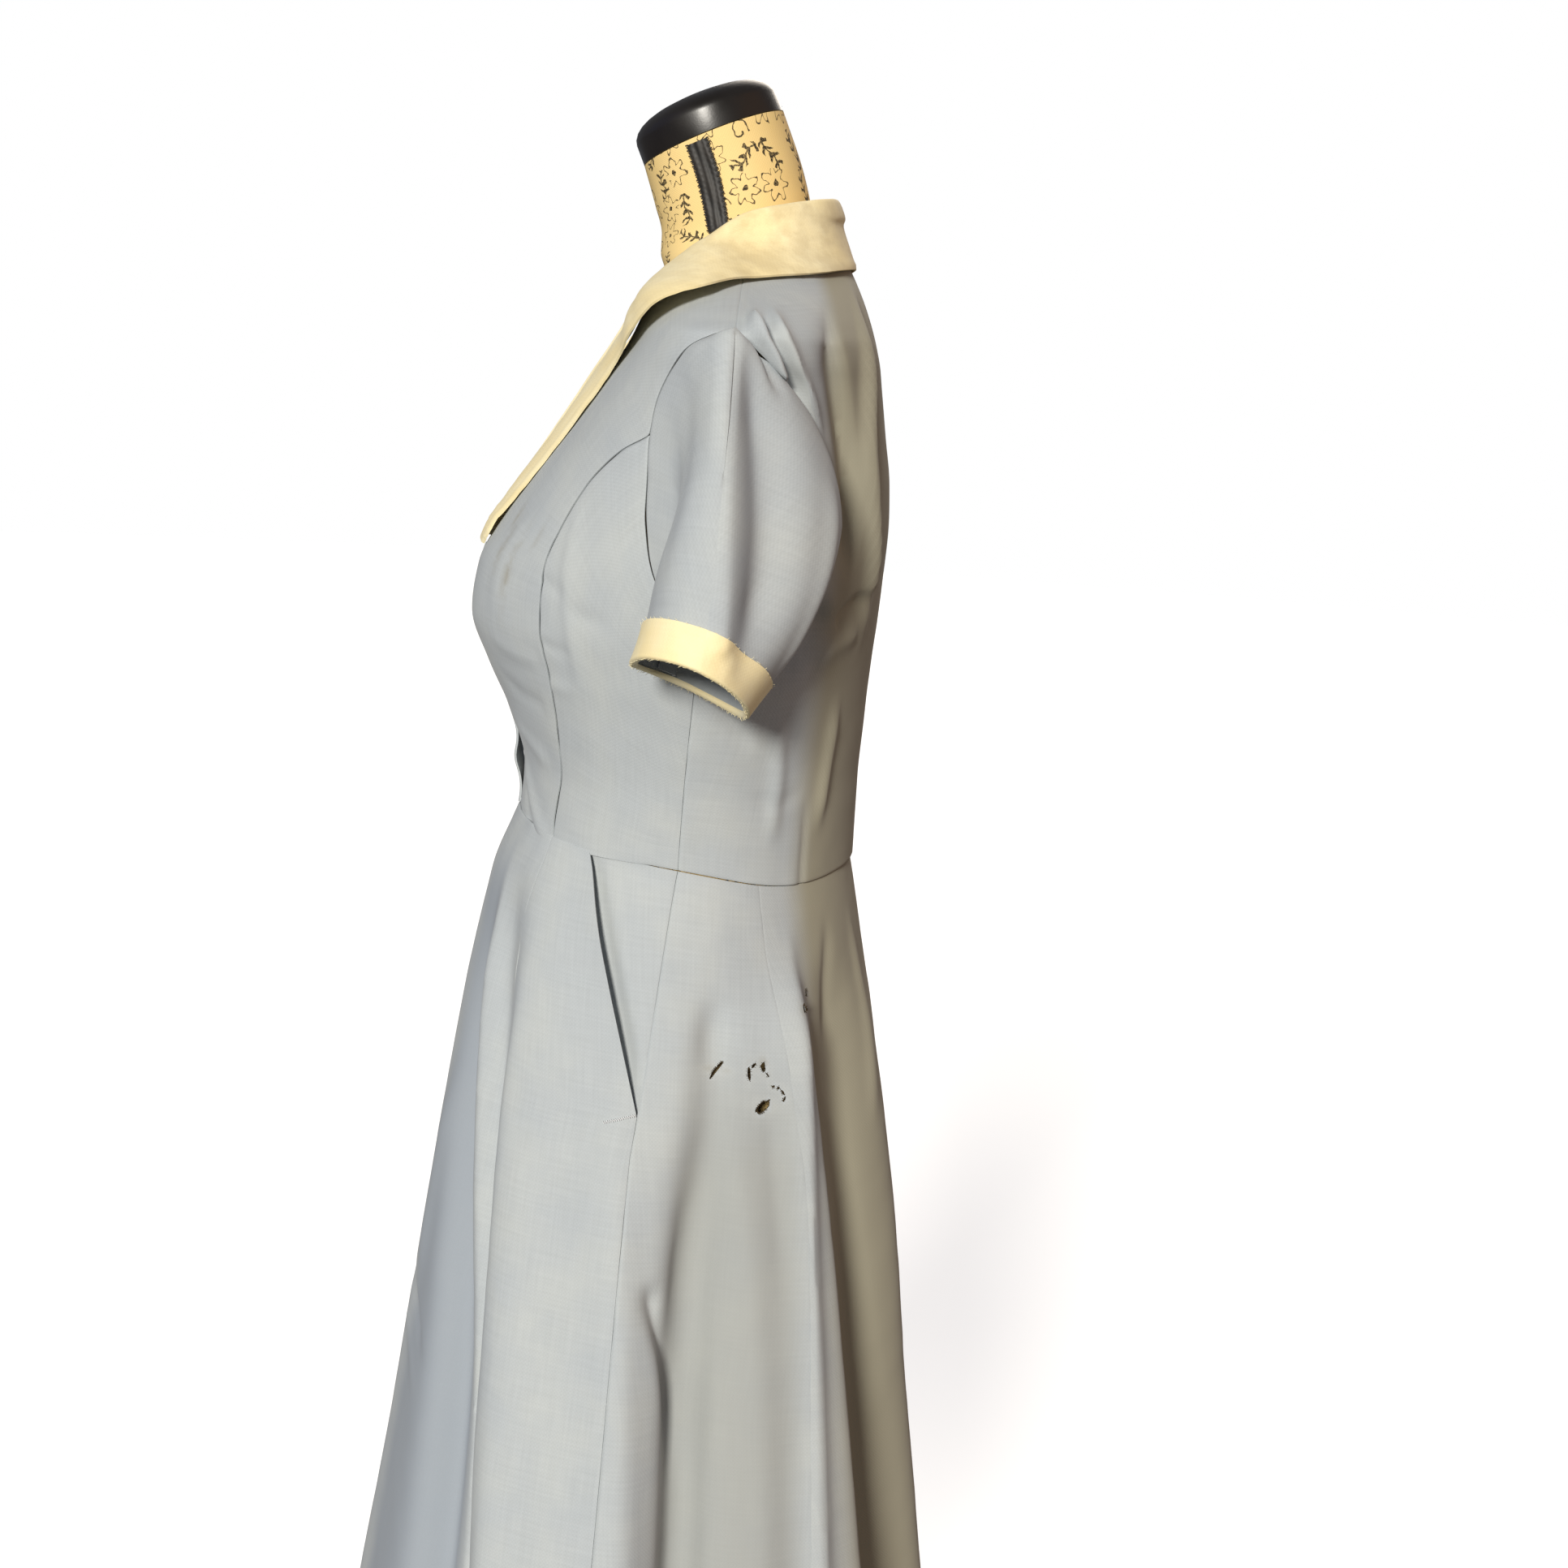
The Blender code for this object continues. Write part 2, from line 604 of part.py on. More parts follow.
def collar_cut(station):
    """One cut across the collar, from its seam up the stand, over the fold and down to its edge."""
    seam = over_bodice(station.seam_turn, station.seam_rise, 0.0)
    fold = over_bodice(station.fold_turn, station.fold_rise, station.fold_lift)
    height = np.linalg.norm(fold - seam)
    up = (fold - seam) / height
    radius = np.clip(0.42 * height, COLLAR_CLOTH + 0.0010, COLLAR_FOLD_RADIUS)
    outward = surface_normal(bodice_surface, np.float64(station.fold_turn), np.float64(station.fold_rise), 1)
    lift = max(station.fold_lift + radius * (2 - 3 * float(up @ outward)), COLLAR_LEAST_LIFT)
    fall = []
    for share in (0.2, 0.45, 0.72, 1.0):
        turn = station.fold_turn + (station.edge_turn - station.fold_turn) * share
        rise = station.fold_rise + (station.edge_rise - station.fold_rise) * share
        off = station.edge_lift + (lift - station.edge_lift) * (1 - share) ** 2
        off = off + COLLAR_BOW * math.sin(math.pi * share)
        fall.append(over_bodice(turn, rise, off + COLLAR_CLOTH))
    aside = fall[1] - fold
    away = aside - up * (aside @ up)
    away = away / np.linalg.norm(away)
    foot = seam + up * COLLAR_GAP
    bend = fold - up * radius
    points = [foot, (foot + bend) / 2]
    for angle in (0, 45, 90, 135):
        a = math.radians(angle)
        points.append(bend + away * radius * (1 - math.cos(a)) + up * radius * math.sin(a))
    return np.array(points + fall)


def armhole_loop():
    """The armhole's edge on the wearer's left, from the shoulder tip down the front and up the back."""
    front = np.concatenate([
        through(FRONT_ARMHOLE_TOP, FRONT_TOP_STEPS)[:-1],
        through(FRONT_ARMHOLE_LOW, ARMHOLE_LOW_STEPS)[:-1],
    ])
    loop = np.concatenate([front, through(BACK_ARMHOLE, ARMHOLE_BACK_STEPS)[:-1]])
    return bodice_surface(loop[:, 0], loop[:, 1])


def sleeve_hem_loop(count):
    """The sleeve's opening as a loop of points, in the armhole's order."""
    turn = np.linspace(0, 2 * math.pi, count, endpoint=False)[:, None]
    return SLEEVE_HEM_CENTRE + np.cos(turn) * SLEEVE_HEM_OUTWARDS + np.sin(turn) * np.array(SLEEVE_HEM_FORWARDS)


def sleeve_surface(share):
    """The sleeve's outer face on the wearer's left; share runs from 0 at the armhole to 1 at the hem."""
    armhole = armhole_loop()
    hem = sleeve_hem_loop(len(armhole))
    away = armhole - armhole.mean(0)
    away[:, 0] = 0
    away /= np.linalg.norm(away, axis=1, keepdims=True)
    low = np.clip(-away[:, 2:], 0, 1)
    behind = np.clip(away[:, 1:2], 0, 1)
    leave = np.array([0.080, 0.004, 0.0]) * (1 - 0.6 * low) + away * (0, 0.006, 0.020)
    ahead = np.clip(-away[:, 1:2], 0, 1)
    leave = leave + behind * (-0.030, 0.048, -0.030) + ahead * (0.0, 0.060, 0.0)
    arrive = np.array([0.110, -0.020, -0.200]) * (1 - 0.8 * low)
    arrive = arrive + behind * (0.0, -0.150, -0.030) + ahead * (0.0, -0.050, 0.0)
    start = armhole + (SEAM * 1.4, 0, 0)
    t = share
    return (
        (1 + 2 * t) * (1 - t) ** 2 * start
        + t * (1 - t) ** 2 * leave
        + t**2 * (3 - 2 * t) * hem
        + t**2 * (t - 1) * arrive
    )


def sleeve_grid():
    """The sleeve's rings from the armhole to the hem."""
    return np.stack([sleeve_surface(t) for t in np.linspace(0, 1, SLEEVE_RINGS + 1)])


def cuff_grid():
    """The cuff's rings, laid on the sleeve: at each point, as far up from the hem as the cuff is deep."""
    fine = np.stack([sleeve_surface(t) for t in np.linspace(0, 1, CUFF_SAMPLES)])
    length = np.concatenate([np.zeros((1, fine.shape[1])), np.linalg.norm(np.diff(fine, axis=0), axis=2).cumsum(0)])
    normal = outwards(fine)
    rings = []
    for row in CUFF_ROWS:
        lift = CUFF_CLOTH + CUFF_GAP + CUFF_FLARE * row
        ring = []
        for c in range(fine.shape[1]):
            at = length[-1, c] - CUFF_DEPTH * (1 - row)
            place = [np.interp(at, length[:, c], fine[:, c, k]) for k in range(3)]
            face = [np.interp(at, length[:, c], normal[:, c, k]) for k in range(3)]
            ring.append(np.array(place) + np.array(face) * lift)
        rings.append(ring)
    rings = np.array(rings)
    last = fine[-1] - fine[-3]
    rings[-1] += last / np.linalg.norm(last, axis=1, keepdims=True) * CUFF_DROP
    return rings


def outwards(grid):
    """Normals of a sleeve or cuff grid that point away from its axis."""
    normal = grid_normal(grid, True)
    away = grid - grid.mean(1, keepdims=True)
    return normal * np.sign((normal * away).sum())


def make_sleeves():
    """Two short sleeves and their turned back cuffs."""
    grid, cuff = sleeve_grid(), cuff_grid()
    for word, side in (("left", 1), ("right", -1)):
        tube(f"sleeve_{word}", grid, outwards(grid), CLOTH, BLUE_COTTON, side)
        tube(f"cuff_{word}", cuff, outwards(cuff), CUFF_CLOTH, CREAM_COTTON, side)


def tube(name, outer, normal, thickness, finish, side):
    """A wall whose rows are loops, with its faces turned to point outwards."""
    made = wall(name, mirrored(outer, side), mirrored(normal, side), thickness, finish, closed=True)
    face_out(made)
    return made


def face_out(made):
    """Recalculates which way a closed piece's faces point."""
    work = bmesh.new()
    work.from_mesh(made.data)
    bmesh.ops.recalc_face_normals(work, faces=work.faces)
    work.to_mesh(made.data)
    work.free()


def side_seam_turn(drop):
    """The skirt's side seam, which swings a little forwards below the waist."""
    return 90.0 - 6.0 * np.clip(np.asarray(drop) / 0.16, 0, 1) ** 0.8


def slit_turn(drop):
    """The pocket's slit, from the waist seam to the side seam."""
    share = np.clip(np.asarray(drop) / POCKET_DEPTH, 0, 1)
    return POCKET_TOP + (side_seam_turn(POCKET_DEPTH) - POCKET_TOP) * share**0.86


def seam_turn(seam, drop):
    """The turn of a skirt seam at a drop."""
    table = np.array(seam)
    return cubic(table[:, 0], table[:, 1], drop)


def gore(name, first, last, columns, side=1, shift=None, rows=None):
    """A skirt panel between two lines of turns, each a function of the drop."""
    drops = np.array(SKIRT_DROPS[:rows])
    u = np.linspace(0, 1, columns + 1)[None]
    turn = first(drops)[:, None] * (1 - u) + last(drops)[:, None] * u
    drop = np.broadcast_to(drops[:, None], turn.shape)
    outer = skirt_surface(turn * side, drop)
    normal = surface_normal(skirt_surface, turn * side, drop, -1)
    outer = trimmed(outer, normal)
    if shift is not None:
        outer = outer + normal * shift(turn, drop)[..., None]
    made = wall(name, outer, normal, CLOTH, BLUE_COTTON)
    face_out(made)
    return made


def slit_gape(turn, drop):
    """The front panel's cut edge stands off the hip piece in the middle of the slit."""
    share = np.clip(drop / POCKET_DEPTH, 0, 1)
    near = np.clip(1 - (slit_turn(drop) - turn) / 9.0, 0, 1) ** 2
    return POCKET_GAPE * np.sin(np.pi * share) ** 0.7 * near


def hip_inset(turn, drop):
    """The hip piece dips under the front panel towards the slit."""
    share = np.clip(drop / POCKET_DEPTH, 0, 1)
    width = np.maximum(side_seam_turn(drop) - slit_turn(drop), 1e-6)
    behind = np.clip((side_seam_turn(drop) - turn) / width, 0, 1)
    return -(POCKET_INSET + 0.0006) * np.maximum(behind**1.5, share**6)


def make_skirt():
    """Fronts, side fronts, hip pieces, side backs and the back, with the worn holes cut through."""
    for word, side in (("left", 1), ("right", -1)):
        build_side(word, side)
    gore("skirt_back", back_gore_turn, lambda d: 360 - back_gore_turn(d), 24)
    for number, hole in enumerate(HOLES):
        inside_side_back = hole.turn < back_gore_turn(np.array([hole.drop]))[0]
        panel = "skirt_side_back_left" if inside_side_back else "skirt_back"
        cut_through(bpy.data.objects[panel], hole_cutter(f"hole_{number + 1}", hole))


def front_gore_turn(drop):
    """The turn of the front gore seam."""
    return seam_turn(FRONT_GORE_SEAM, drop)


def back_gore_turn(drop):
    """The turn of the back gore seam."""
    return seam_turn(BACK_GORE_SEAM, drop)


def front_edge_turn(drop):
    """The side front panel's back edge: the pocket's slit, then the side seam."""
    return np.where(drop <= POCKET_DEPTH, slit_turn(drop), side_seam_turn(drop))


def build_side(word, side):
    """The skirt's panels on one side of the body."""
    gore(f"skirt_front_{word}", np.zeros_like, front_gore_turn, 9, side)
    gore(f"skirt_side_front_{word}", front_gore_turn, front_edge_turn, 8, side, slit_gape)
    gore(f"pocket_hip_{word}", lambda d: slit_turn(d) - POCKET_UNDERLAP, side_seam_turn, 5, side, hip_inset, SLIT_ROWS)
    gore(f"skirt_side_back_{word}", side_seam_turn, back_gore_turn, 8, side)


def hole_cutter(name, hole):
    """A ragged prism that stands across the skirt's wall where it is worn through."""
    turn, drop = np.float64(hole.turn), np.float64(hole.drop)
    centre = skirt_surface(turn, drop)
    normal = surface_normal(skirt_surface, turn, drop, -1)
    along = np.cross((0.0, 0.0, 1.0), normal)
    along /= np.linalg.norm(along)
    up = np.cross(normal, along)
    slant = math.radians(hole.slant)
    rim = []
    for k in range(HOLE_SIDES):
        angle = 2 * math.pi * k / HOLE_SIDES
        ragged = 1 + HOLE_JAG * math.sin(5 * angle + hole.turn)
        a = hole.length / 2 * math.cos(angle) * ragged
        b = hole.width / 2 * math.sin(angle) * ragged
        rim.append(along * (a * math.cos(slant) - b * math.sin(slant)) + up * (a * math.sin(slant) + b * math.cos(slant)))
    rim = np.array(rim)
    reach = CLOTH * 3
    cutter = loft(name, [centre + rim + normal * reach, centre + rim - normal * reach], BLUE_COTTON)
    bpy.data.collections["waitress_dress"].objects.unlink(cutter)
    bpy.data.collections["cutters"].objects.link(cutter)
    cutter.hide_render = True
    cutter.display_type = "WIRE"
    return cutter


def cut_through(panel, cutter):
    """An exact cut of one piece by a cutter."""
    modifier = panel.modifiers.new(cutter.name, "BOOLEAN")
    modifier.operation = "DIFFERENCE"
    modifier.solver = "EXACT"
    modifier.object = cutter


def make_placket():
    """The band over the centre front, from the lapels' tips to the waist."""
    rises = np.linspace(waist_rise(0.0) + 0.0012, BAND_TOP, 12)
    across = np.linspace(-1, 1, 5) * BAND_HALF_WIDTH
    half_width = cut(BODICE, rises)[0]
    turn = np.degrees(np.arcsin(across[None] / half_width[:, None]))
    rise = np.broadcast_to(rises[:, None], turn.shape)
    normal = surface_normal(bodice_surface, turn, rise, 1)
    gape = BAND_GAPE * np.exp(-(((rise - BAND_GAPE_AT) / 0.012) ** 2))
    outer = bodice_surface(turn, rise) + normal * (CLOTH + BAND_LIFT + gape)[..., None]
    wall("front_placket", outer, normal, CLOTH, BLUE_COTTON)


def loft(name, rings, finish):
    """A closed solid through rings of points, capped flat at both ends."""
    count = len(rings[0])
    faces = [tuple(range(count))]
    for r in range(len(rings) - 1):
        for c in range(count):
            d = (c + 1) % count
            faces.append((r * count + c, r * count + d, (r + 1) * count + d, (r + 1) * count + c))
    faces.append(tuple(reversed(range((len(rings) - 1) * count, len(rings) * count))))
    made = add_object(name, np.concatenate(rings), faces, finish)
    face_out(made)
    return made


def form_ring(rise):
    """One ring of the dress form."""
    turn = np.linspace(0, 360, FORM_SIDES, endpoint=False)
    x, y, lean = ring_point(FORM, turn, np.full(FORM_SIDES, rise))
    return np.stack([x, y, WAIST + rise + lean], -1)


def make_form():
    """The limbless torso, its neck cap and the braid down each side of the neck."""
    loft("form_torso", [form_ring(section.rise) for section in FORM], FORM_LINEN)
    top = form_ring(FORM[-1].rise)
    centre = top.mean(0)
    lean = math.radians(FORM[-1].tilt)
    axis = np.array([0, -math.sin(lean), math.cos(lean)])
    profile = ((SEAM, 1.0), (0.013, 1.0), (0.019, 0.94), (0.0235, 0.78), (0.0265, 0.50), (0.0275, 0.20))
    rings = [centre + (top - centre) * size + axis * height for height, size in profile]
    loft("form_neck_cap", rings, BLACK_TRIM)
    rises = np.linspace(BRAID_FROM, BRAID_TO, 7)
    for word, middle in (("left", BRAID_TURN), ("right", -BRAID_TURN)):
        turn, rise = np.meshgrid(middle + np.linspace(-BRAID_HALF_TURN, BRAID_HALF_TURN, 4), rises)
        x, y, shift = ring_point(FORM, turn, rise)
        points = np.stack([x, y, WAIST + rise + shift], -1)
        normal = grid_normal(points, False)
        braid = wall(f"form_braid_{word}", points + normal * (BRAID_CLOTH + BRAID_GAP), normal, BRAID_CLOTH, BLACK_TRIM)
        face_out(braid)


def turned(name, profile, finish, steps=32):
    """A solid turned on the pole's axis from (radius, height) pairs that run from the top to the bottom."""
    mesh = bpy.data.meshes.new(name)
    points = [(radius, 0.0, height) for radius, height in profile]
    mesh.from_pydata(points, [(k, k + 1) for k in range(len(points) - 1)], [])
    mesh.materials.append(material(*finish))
    made = bpy.data.objects.new(name, mesh)
    bpy.data.collections["waitress_dress"].objects.link(made)
    screw = made.modifiers.new("turn", "SCREW")
    screw.steps = screw.render_steps = steps
    screw.use_merge_vertices = True
    screw.merge_threshold = STEP
    screw.use_smooth_shade = True
    return made


def make_stand():
    """A weighted round base, its socket, the pole and the flange under the torso."""
    socket_bottom = BASE_HEIGHT + SEAM
    socket_top = socket_bottom + SOCKET_HEIGHT
    flange_top = WAIST + FORM[0].rise - SEAM
    flange_bottom = flange_top - FLANGE_HEIGHT
    turned("stand_base", (
        (0.0, BASE_HEIGHT), (BASE_RADIUS - BASE_BEVEL, BASE_HEIGHT), (BASE_RADIUS, BASE_HEIGHT - BASE_BEVEL),
        (BASE_RADIUS, BASE_EASE), (BASE_RADIUS - BASE_EASE, 0.0), (0.0, 0.0),
    ), BLACK_STEEL, 48)
    turned("stand_socket", (
        (0.0, socket_top), (SOCKET_RADIUS - SOCKET_BEVEL, socket_top), (SOCKET_RADIUS, socket_top - SOCKET_BEVEL),
        (SOCKET_RADIUS, socket_bottom), (0.0, socket_bottom),
    ), BLACK_STEEL)
    turned("stand_flange", (
        (0.0, flange_top), (FLANGE_RADIUS, flange_top), (FLANGE_RADIUS, flange_bottom + BASE_EASE),
        (FLANGE_RADIUS - BASE_EASE, flange_bottom), (0.0, flange_bottom),
    ), BLACK_STEEL)
    length = flange_bottom - socket_top - 2 * SEAM
    bpy.ops.mesh.primitive_cylinder_add(
        vertices=24, radius=POLE_RADIUS, depth=length, location=(0, 0, socket_top + SEAM + length / 2)
    )
    pole = bpy.context.active_object
    pole.name = pole.data.name = "stand_pole"
    pole.data.materials.append(material(*BLACK_STEEL))
    pole.data.shade_smooth()
    pole.data.set_sharp_from_angle(angle=math.radians(50))
    for home in list(pole.users_collection):
        home.objects.unlink(pole)
    bpy.data.collections["waitress_dress"].objects.link(pole)


def clear_scene():
    """Removes what the file starts with and adds one collection for the dress and one for its cutters."""
    for old in list(bpy.data.objects):
        bpy.data.objects.remove(old)
    for name in ("waitress_dress", "cutters"):
        bpy.context.scene.collection.children.link(bpy.data.collections.new(name))


clear_scene()
make_bodice()
make_placket()
make_collar()
make_sleeves()
make_skirt()
make_form()
make_stand()
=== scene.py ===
"""Looks of a waitress uniform dress and of the dress form that wears it.

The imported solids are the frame. Each cloth piece here is a thin wall laid on its solid's form, worked
out from a turn round the body (0 at the centre front, 90 degrees at the wearer's left side, 180 at the
centre back) and a height: a rise above the waist seam, or a drop below it. Metres, +Z up, front -Y.
"""

import logging
import math
from dataclasses import dataclass
from enum import Enum
from typing import Callable, NamedTuple, Sequence

import bmesh
import bpy
import numpy as np
from mathutils import Matrix


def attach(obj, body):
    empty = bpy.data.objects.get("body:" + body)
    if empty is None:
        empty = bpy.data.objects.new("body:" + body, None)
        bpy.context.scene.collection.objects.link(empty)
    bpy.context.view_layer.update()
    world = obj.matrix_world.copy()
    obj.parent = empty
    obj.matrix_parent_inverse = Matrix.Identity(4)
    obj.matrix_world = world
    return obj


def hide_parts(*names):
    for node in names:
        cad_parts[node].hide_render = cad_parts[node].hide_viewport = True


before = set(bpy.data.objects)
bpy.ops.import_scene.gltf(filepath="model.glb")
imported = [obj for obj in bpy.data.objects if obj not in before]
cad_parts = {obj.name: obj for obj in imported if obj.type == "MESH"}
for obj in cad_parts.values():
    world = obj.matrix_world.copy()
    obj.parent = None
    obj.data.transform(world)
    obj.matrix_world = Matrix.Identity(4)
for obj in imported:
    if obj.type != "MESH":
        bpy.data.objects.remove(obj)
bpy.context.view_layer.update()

LOG = logging.getLogger("waitress_dress")
Grid = np.ndarray
Surface = Callable[[Grid, Grid], Grid]

Material = bpy.types.Material
Object = bpy.types.Object
Socket = bpy.types.NodeSocket
Tree = bpy.types.NodeTree

# the waist seam's height, how much higher it is in front, and how far it sags at each side back
WAIST = 1.040
WAIST_TILT = 0.0108
WAIST_SAG = 0.0055
SKIRT_LENGTH = 0.620
CLOTH = 0.0009
# the metres that one degree of turn spans on the bodice
DEGREE = 0.0028
# the small steps by which normals are found, and the angle past which an edge is sharp
STEP = 1e-4
TURN_STEP = 0.05
SHARP = 50.0
# a crease's path is cut into so many steps, and its crest is blunted by this much
CREASE_STEPS = 18
CREST = 0.0012
SIDES = (("left", 1), ("right", -1))


class Slot(Enum):
    """Names of the material slots."""

    DRESS = "dress_cotton"
    TRIM = "trim_cotton"
    FORM = "form_cover"
    BRAID = "braid"
    STAND = "stand_paint"


class Section(NamedTuple):
    """A level cut through the body: half width, where along y it is widest, and how far it reaches."""

    rise: float
    half_width: float
    side_y: float
    front: float
    back: float
    tilt: float = 0.0


class Fold(NamedTuple):
    """A skirt fold: its turn at the waist, its swing towards the hem, the drop where it begins, its height
    at the hem, its two flanks in degrees and how far its crest leans towards the front."""

    turn: float
    swing: float
    start: float
    height: float
    front_flank: float
    back_flank: float
    lean: float = 0.0


class Crease(NamedTuple):
    """A soft ridge or trough: its path as (turn, height) points, how far it stands out in
    metres, its width on each side of the path, the share of its length over which each end fades, and the
    power of its profile: 2 is a round one and 1.3 a sharp one."""

    path: tuple
    height: float
    near: float
    far: float
    fade_in: float = 0.3
    fade_out: float = 0.3
    point: float = 2.0


class Spot(NamedTuple):
    """A soiled spot: its middle as (turn, height), its half sizes in metres and how strong it is."""

    turn: float
    height: float
    across: float
    along: float
    strength: float


class Hole(NamedTuple):
    """A hole worn or torn through: its turn and drop, its length, width and slant in degrees."""

    turn: float
    drop: float
    length: float
    width: float
    slant: float


class Swell(NamedTuple):
    """A smooth rise of the bodice's front: how far out, where across and up, and its half sizes."""

    out: float
    across: float
    rise: float
    width: float
    height: float

    def at(self, x: Grid, rise: Grid) -> Grid:
        """How far out it brings each point."""
        aside, above = (np.abs(x) - self.across) / self.width, (rise - self.rise) / self.height
        return self.out * np.exp(-(aside**2) - above**2)


class Station(NamedTuple):
    """A cut across the collar: where it is sewn on, where it folds and where its edge lies, as turns and
    rises on the bodice, and how far the fold and the edge are lifted off it."""

    seam_turn: float
    seam_rise: float
    fold_turn: float
    fold_rise: float
    fold_lift: float
    edge_turn: float
    edge_rise: float
    edge_lift: float


CUP = Swell(0.0065, 0.072, 0.146, 0.040, 0.045)
CLEFT = Swell(0.0030, 0.0, 0.150, 0.022, 0.050)

BODICE = (
    Section(-0.020, 0.1275, 0.000, 0.1140, 0.1080),
    Section(0.000, 0.1265, 0.000, 0.1115, 0.1075),
    Section(0.040, 0.1300, 0.001, 0.1090, 0.1075),
    Section(0.080, 0.1390, 0.003, 0.1210, 0.1090),
    Section(0.110, 0.1480, 0.005, 0.1340, 0.1105),
    Section(0.140, 0.1560, 0.007, 0.1430, 0.1130),
    Section(0.170, 0.1610, 0.009, 0.1400, 0.1150),
    Section(0.200, 0.1640, 0.011, 0.1255, 0.1165),
    Section(0.230, 0.1670, 0.013, 0.1060, 0.1150),
    Section(0.260, 0.1700, 0.015, 0.0850, 0.1105),
    Section(0.290, 0.1755, 0.017, 0.0645, 0.1060),
    Section(0.302, 0.1790, 0.018, 0.0560, 0.1040),
    Section(0.312, 0.1775, 0.019, 0.0505, 0.1015),
    Section(0.322, 0.1610, 0.019, 0.0465, 0.0985),
    Section(0.333, 0.1360, 0.019, 0.0425, 0.0945),
    Section(0.345, 0.1070, 0.019, 0.0395, 0.0895),
    Section(0.358, 0.0780, 0.019, 0.0370, 0.0830),
    Section(0.372, 0.0620, 0.019, 0.0345, 0.0745),
    Section(0.386, 0.0550, 0.019, 0.0325, 0.0660),
)

SKIRT = (
    Section(0.000, 0.1265, 0.000, 0.1115, 0.1055),
    Section(0.040, 0.1430, 0.000, 0.1270, 0.1140),
    Section(0.070, 0.1540, 0.000, 0.1325, 0.1205),
    Section(0.100, 0.1650, 0.000, 0.1370, 0.1270),
    Section(0.160, 0.1830, 0.000, 0.1455, 0.1375),
    Section(0.220, 0.1990, 0.000, 0.1530, 0.1460),
    Section(0.280, 0.2140, 0.000, 0.1600, 0.1530),
    Section(0.350, 0.2300, 0.000, 0.1680, 0.1610),
    Section(0.450, 0.2520, 0.000, 0.1810, 0.1740),
    Section(0.550, 0.2720, 0.000, 0.1950, 0.1870),
    Section(0.620, 0.2860, 0.000, 0.2060, 0.1970),
)

FORM = (
    Section(-0.230, 0.1480, -0.002, 0.1060, 0.1100),
    Section(-0.200, 0.1590, -0.002, 0.1130, 0.1180),
    Section(-0.150, 0.1620, -0.002, 0.1160, 0.1190),
    Section(-0.100, 0.1500, 0.000, 0.1110, 0.1110),
    Section(-0.050, 0.1330, 0.000, 0.1060, 0.1020),
    Section(0.000, 0.1175, 0.000, 0.1025, 0.0985),
    Section(0.040, 0.1205, 0.001, 0.1005, 0.0985),
    Section(0.080, 0.1295, 0.003, 0.1120, 0.1000),
    Section(0.110, 0.1380, 0.005, 0.1250, 0.1010),
    Section(0.140, 0.1465, 0.007, 0.1340, 0.1035),
    Section(0.170, 0.1510, 0.009, 0.1310, 0.1055),
    Section(0.200, 0.1540, 0.011, 0.1180, 0.1065),
    Section(0.230, 0.1560, 0.013, 0.0970, 0.1050),
    Section(0.260, 0.1590, 0.015, 0.0765, 0.1005),
    Section(0.285, 0.1615, 0.017, 0.0590, 0.0965),
    Section(0.302, 0.1620, 0.018, 0.0485, 0.0935),
    Section(0.314, 0.1570, 0.019, 0.0430, 0.0905),
    Section(0.3235, 0.1475, 0.019, 0.0395, 0.0880),
    Section(0.3320, 0.1315, 0.019, 0.0370, 0.0850),
    Section(0.3430, 0.1050, 0.019, 0.0345, 0.0805),
    Section(0.3560, 0.0750, 0.018, 0.0345, 0.0720, 1.0),
    Section(0.3680, 0.0570, 0.015, 0.0365, 0.0645, 4.0),
    Section(0.3820, 0.0500, 0.011, 0.0365, 0.0580, 9.0),
    Section(0.4060, 0.0480, 0.005, 0.0415, 0.0490, 16.0),
    Section(0.4340, 0.0475, -0.006, 0.0490, 0.0350, 24.0),
)


def hermite(t: Grid, first: Grid, last: Grid, leave: Grid, arrive: Grid) -> Grid:
    """A curve from one value to the next, t from 0 to 1, with its slope at both ends."""
    return (
        (1 + 2 * t) * (1 - t) ** 2 * first + t * (1 - t) ** 2 * leave
        + t**2 * (3 - 2 * t) * last + t**2 * (t - 1) * arrive
    )


def lengths(points: Grid, axis: int) -> Grid:
    """How far along its column (axis 0) or its row (axis 1) each point of a grid lies."""
    return np.insert(np.linalg.norm(np.diff(points, axis=axis), axis=2).cumsum(axis), 0, 0.0, axis)


def unit(vectors: Grid) -> Grid:
    """Vectors with the length 1."""
    return vectors / np.maximum(np.linalg.norm(vectors, axis=-1, keepdims=True), 1e-12)


def cubic(xs: Sequence, ys: Sequence, at: Grid) -> Grid:
    """A smooth curve through points that doesn't overshoot.

    Args:
        xs: Where the points lie, rising.
        ys: The points' values.
        at: Where the curve is read.

    Returns:
        The values there.
    """
    xs, ys, at = (np.asarray(v, float) for v in (xs, ys, at))
    gap = np.diff(xs)
    slope = np.diff(ys) / gap
    tangent = np.empty(len(xs))
    tangent[0], tangent[-1] = slope[0], slope[-1]
    same_way = slope[:-1] * slope[1:] > 0
    mean = 2 * slope[:-1] * slope[1:] / np.where(same_way, slope[:-1] + slope[1:], 1.0)
    tangent[1:-1] = np.where(same_way, mean, 0.0)
    i = np.clip(np.searchsorted(xs, at, side="right") - 1, 0, len(gap) - 1)
    t = np.clip((at - xs[i]) / gap[i], 0.0, 1.0)
    return hermite(t, ys[i], ys[i + 1], gap[i] * tangent[i], gap[i] * tangent[i + 1])


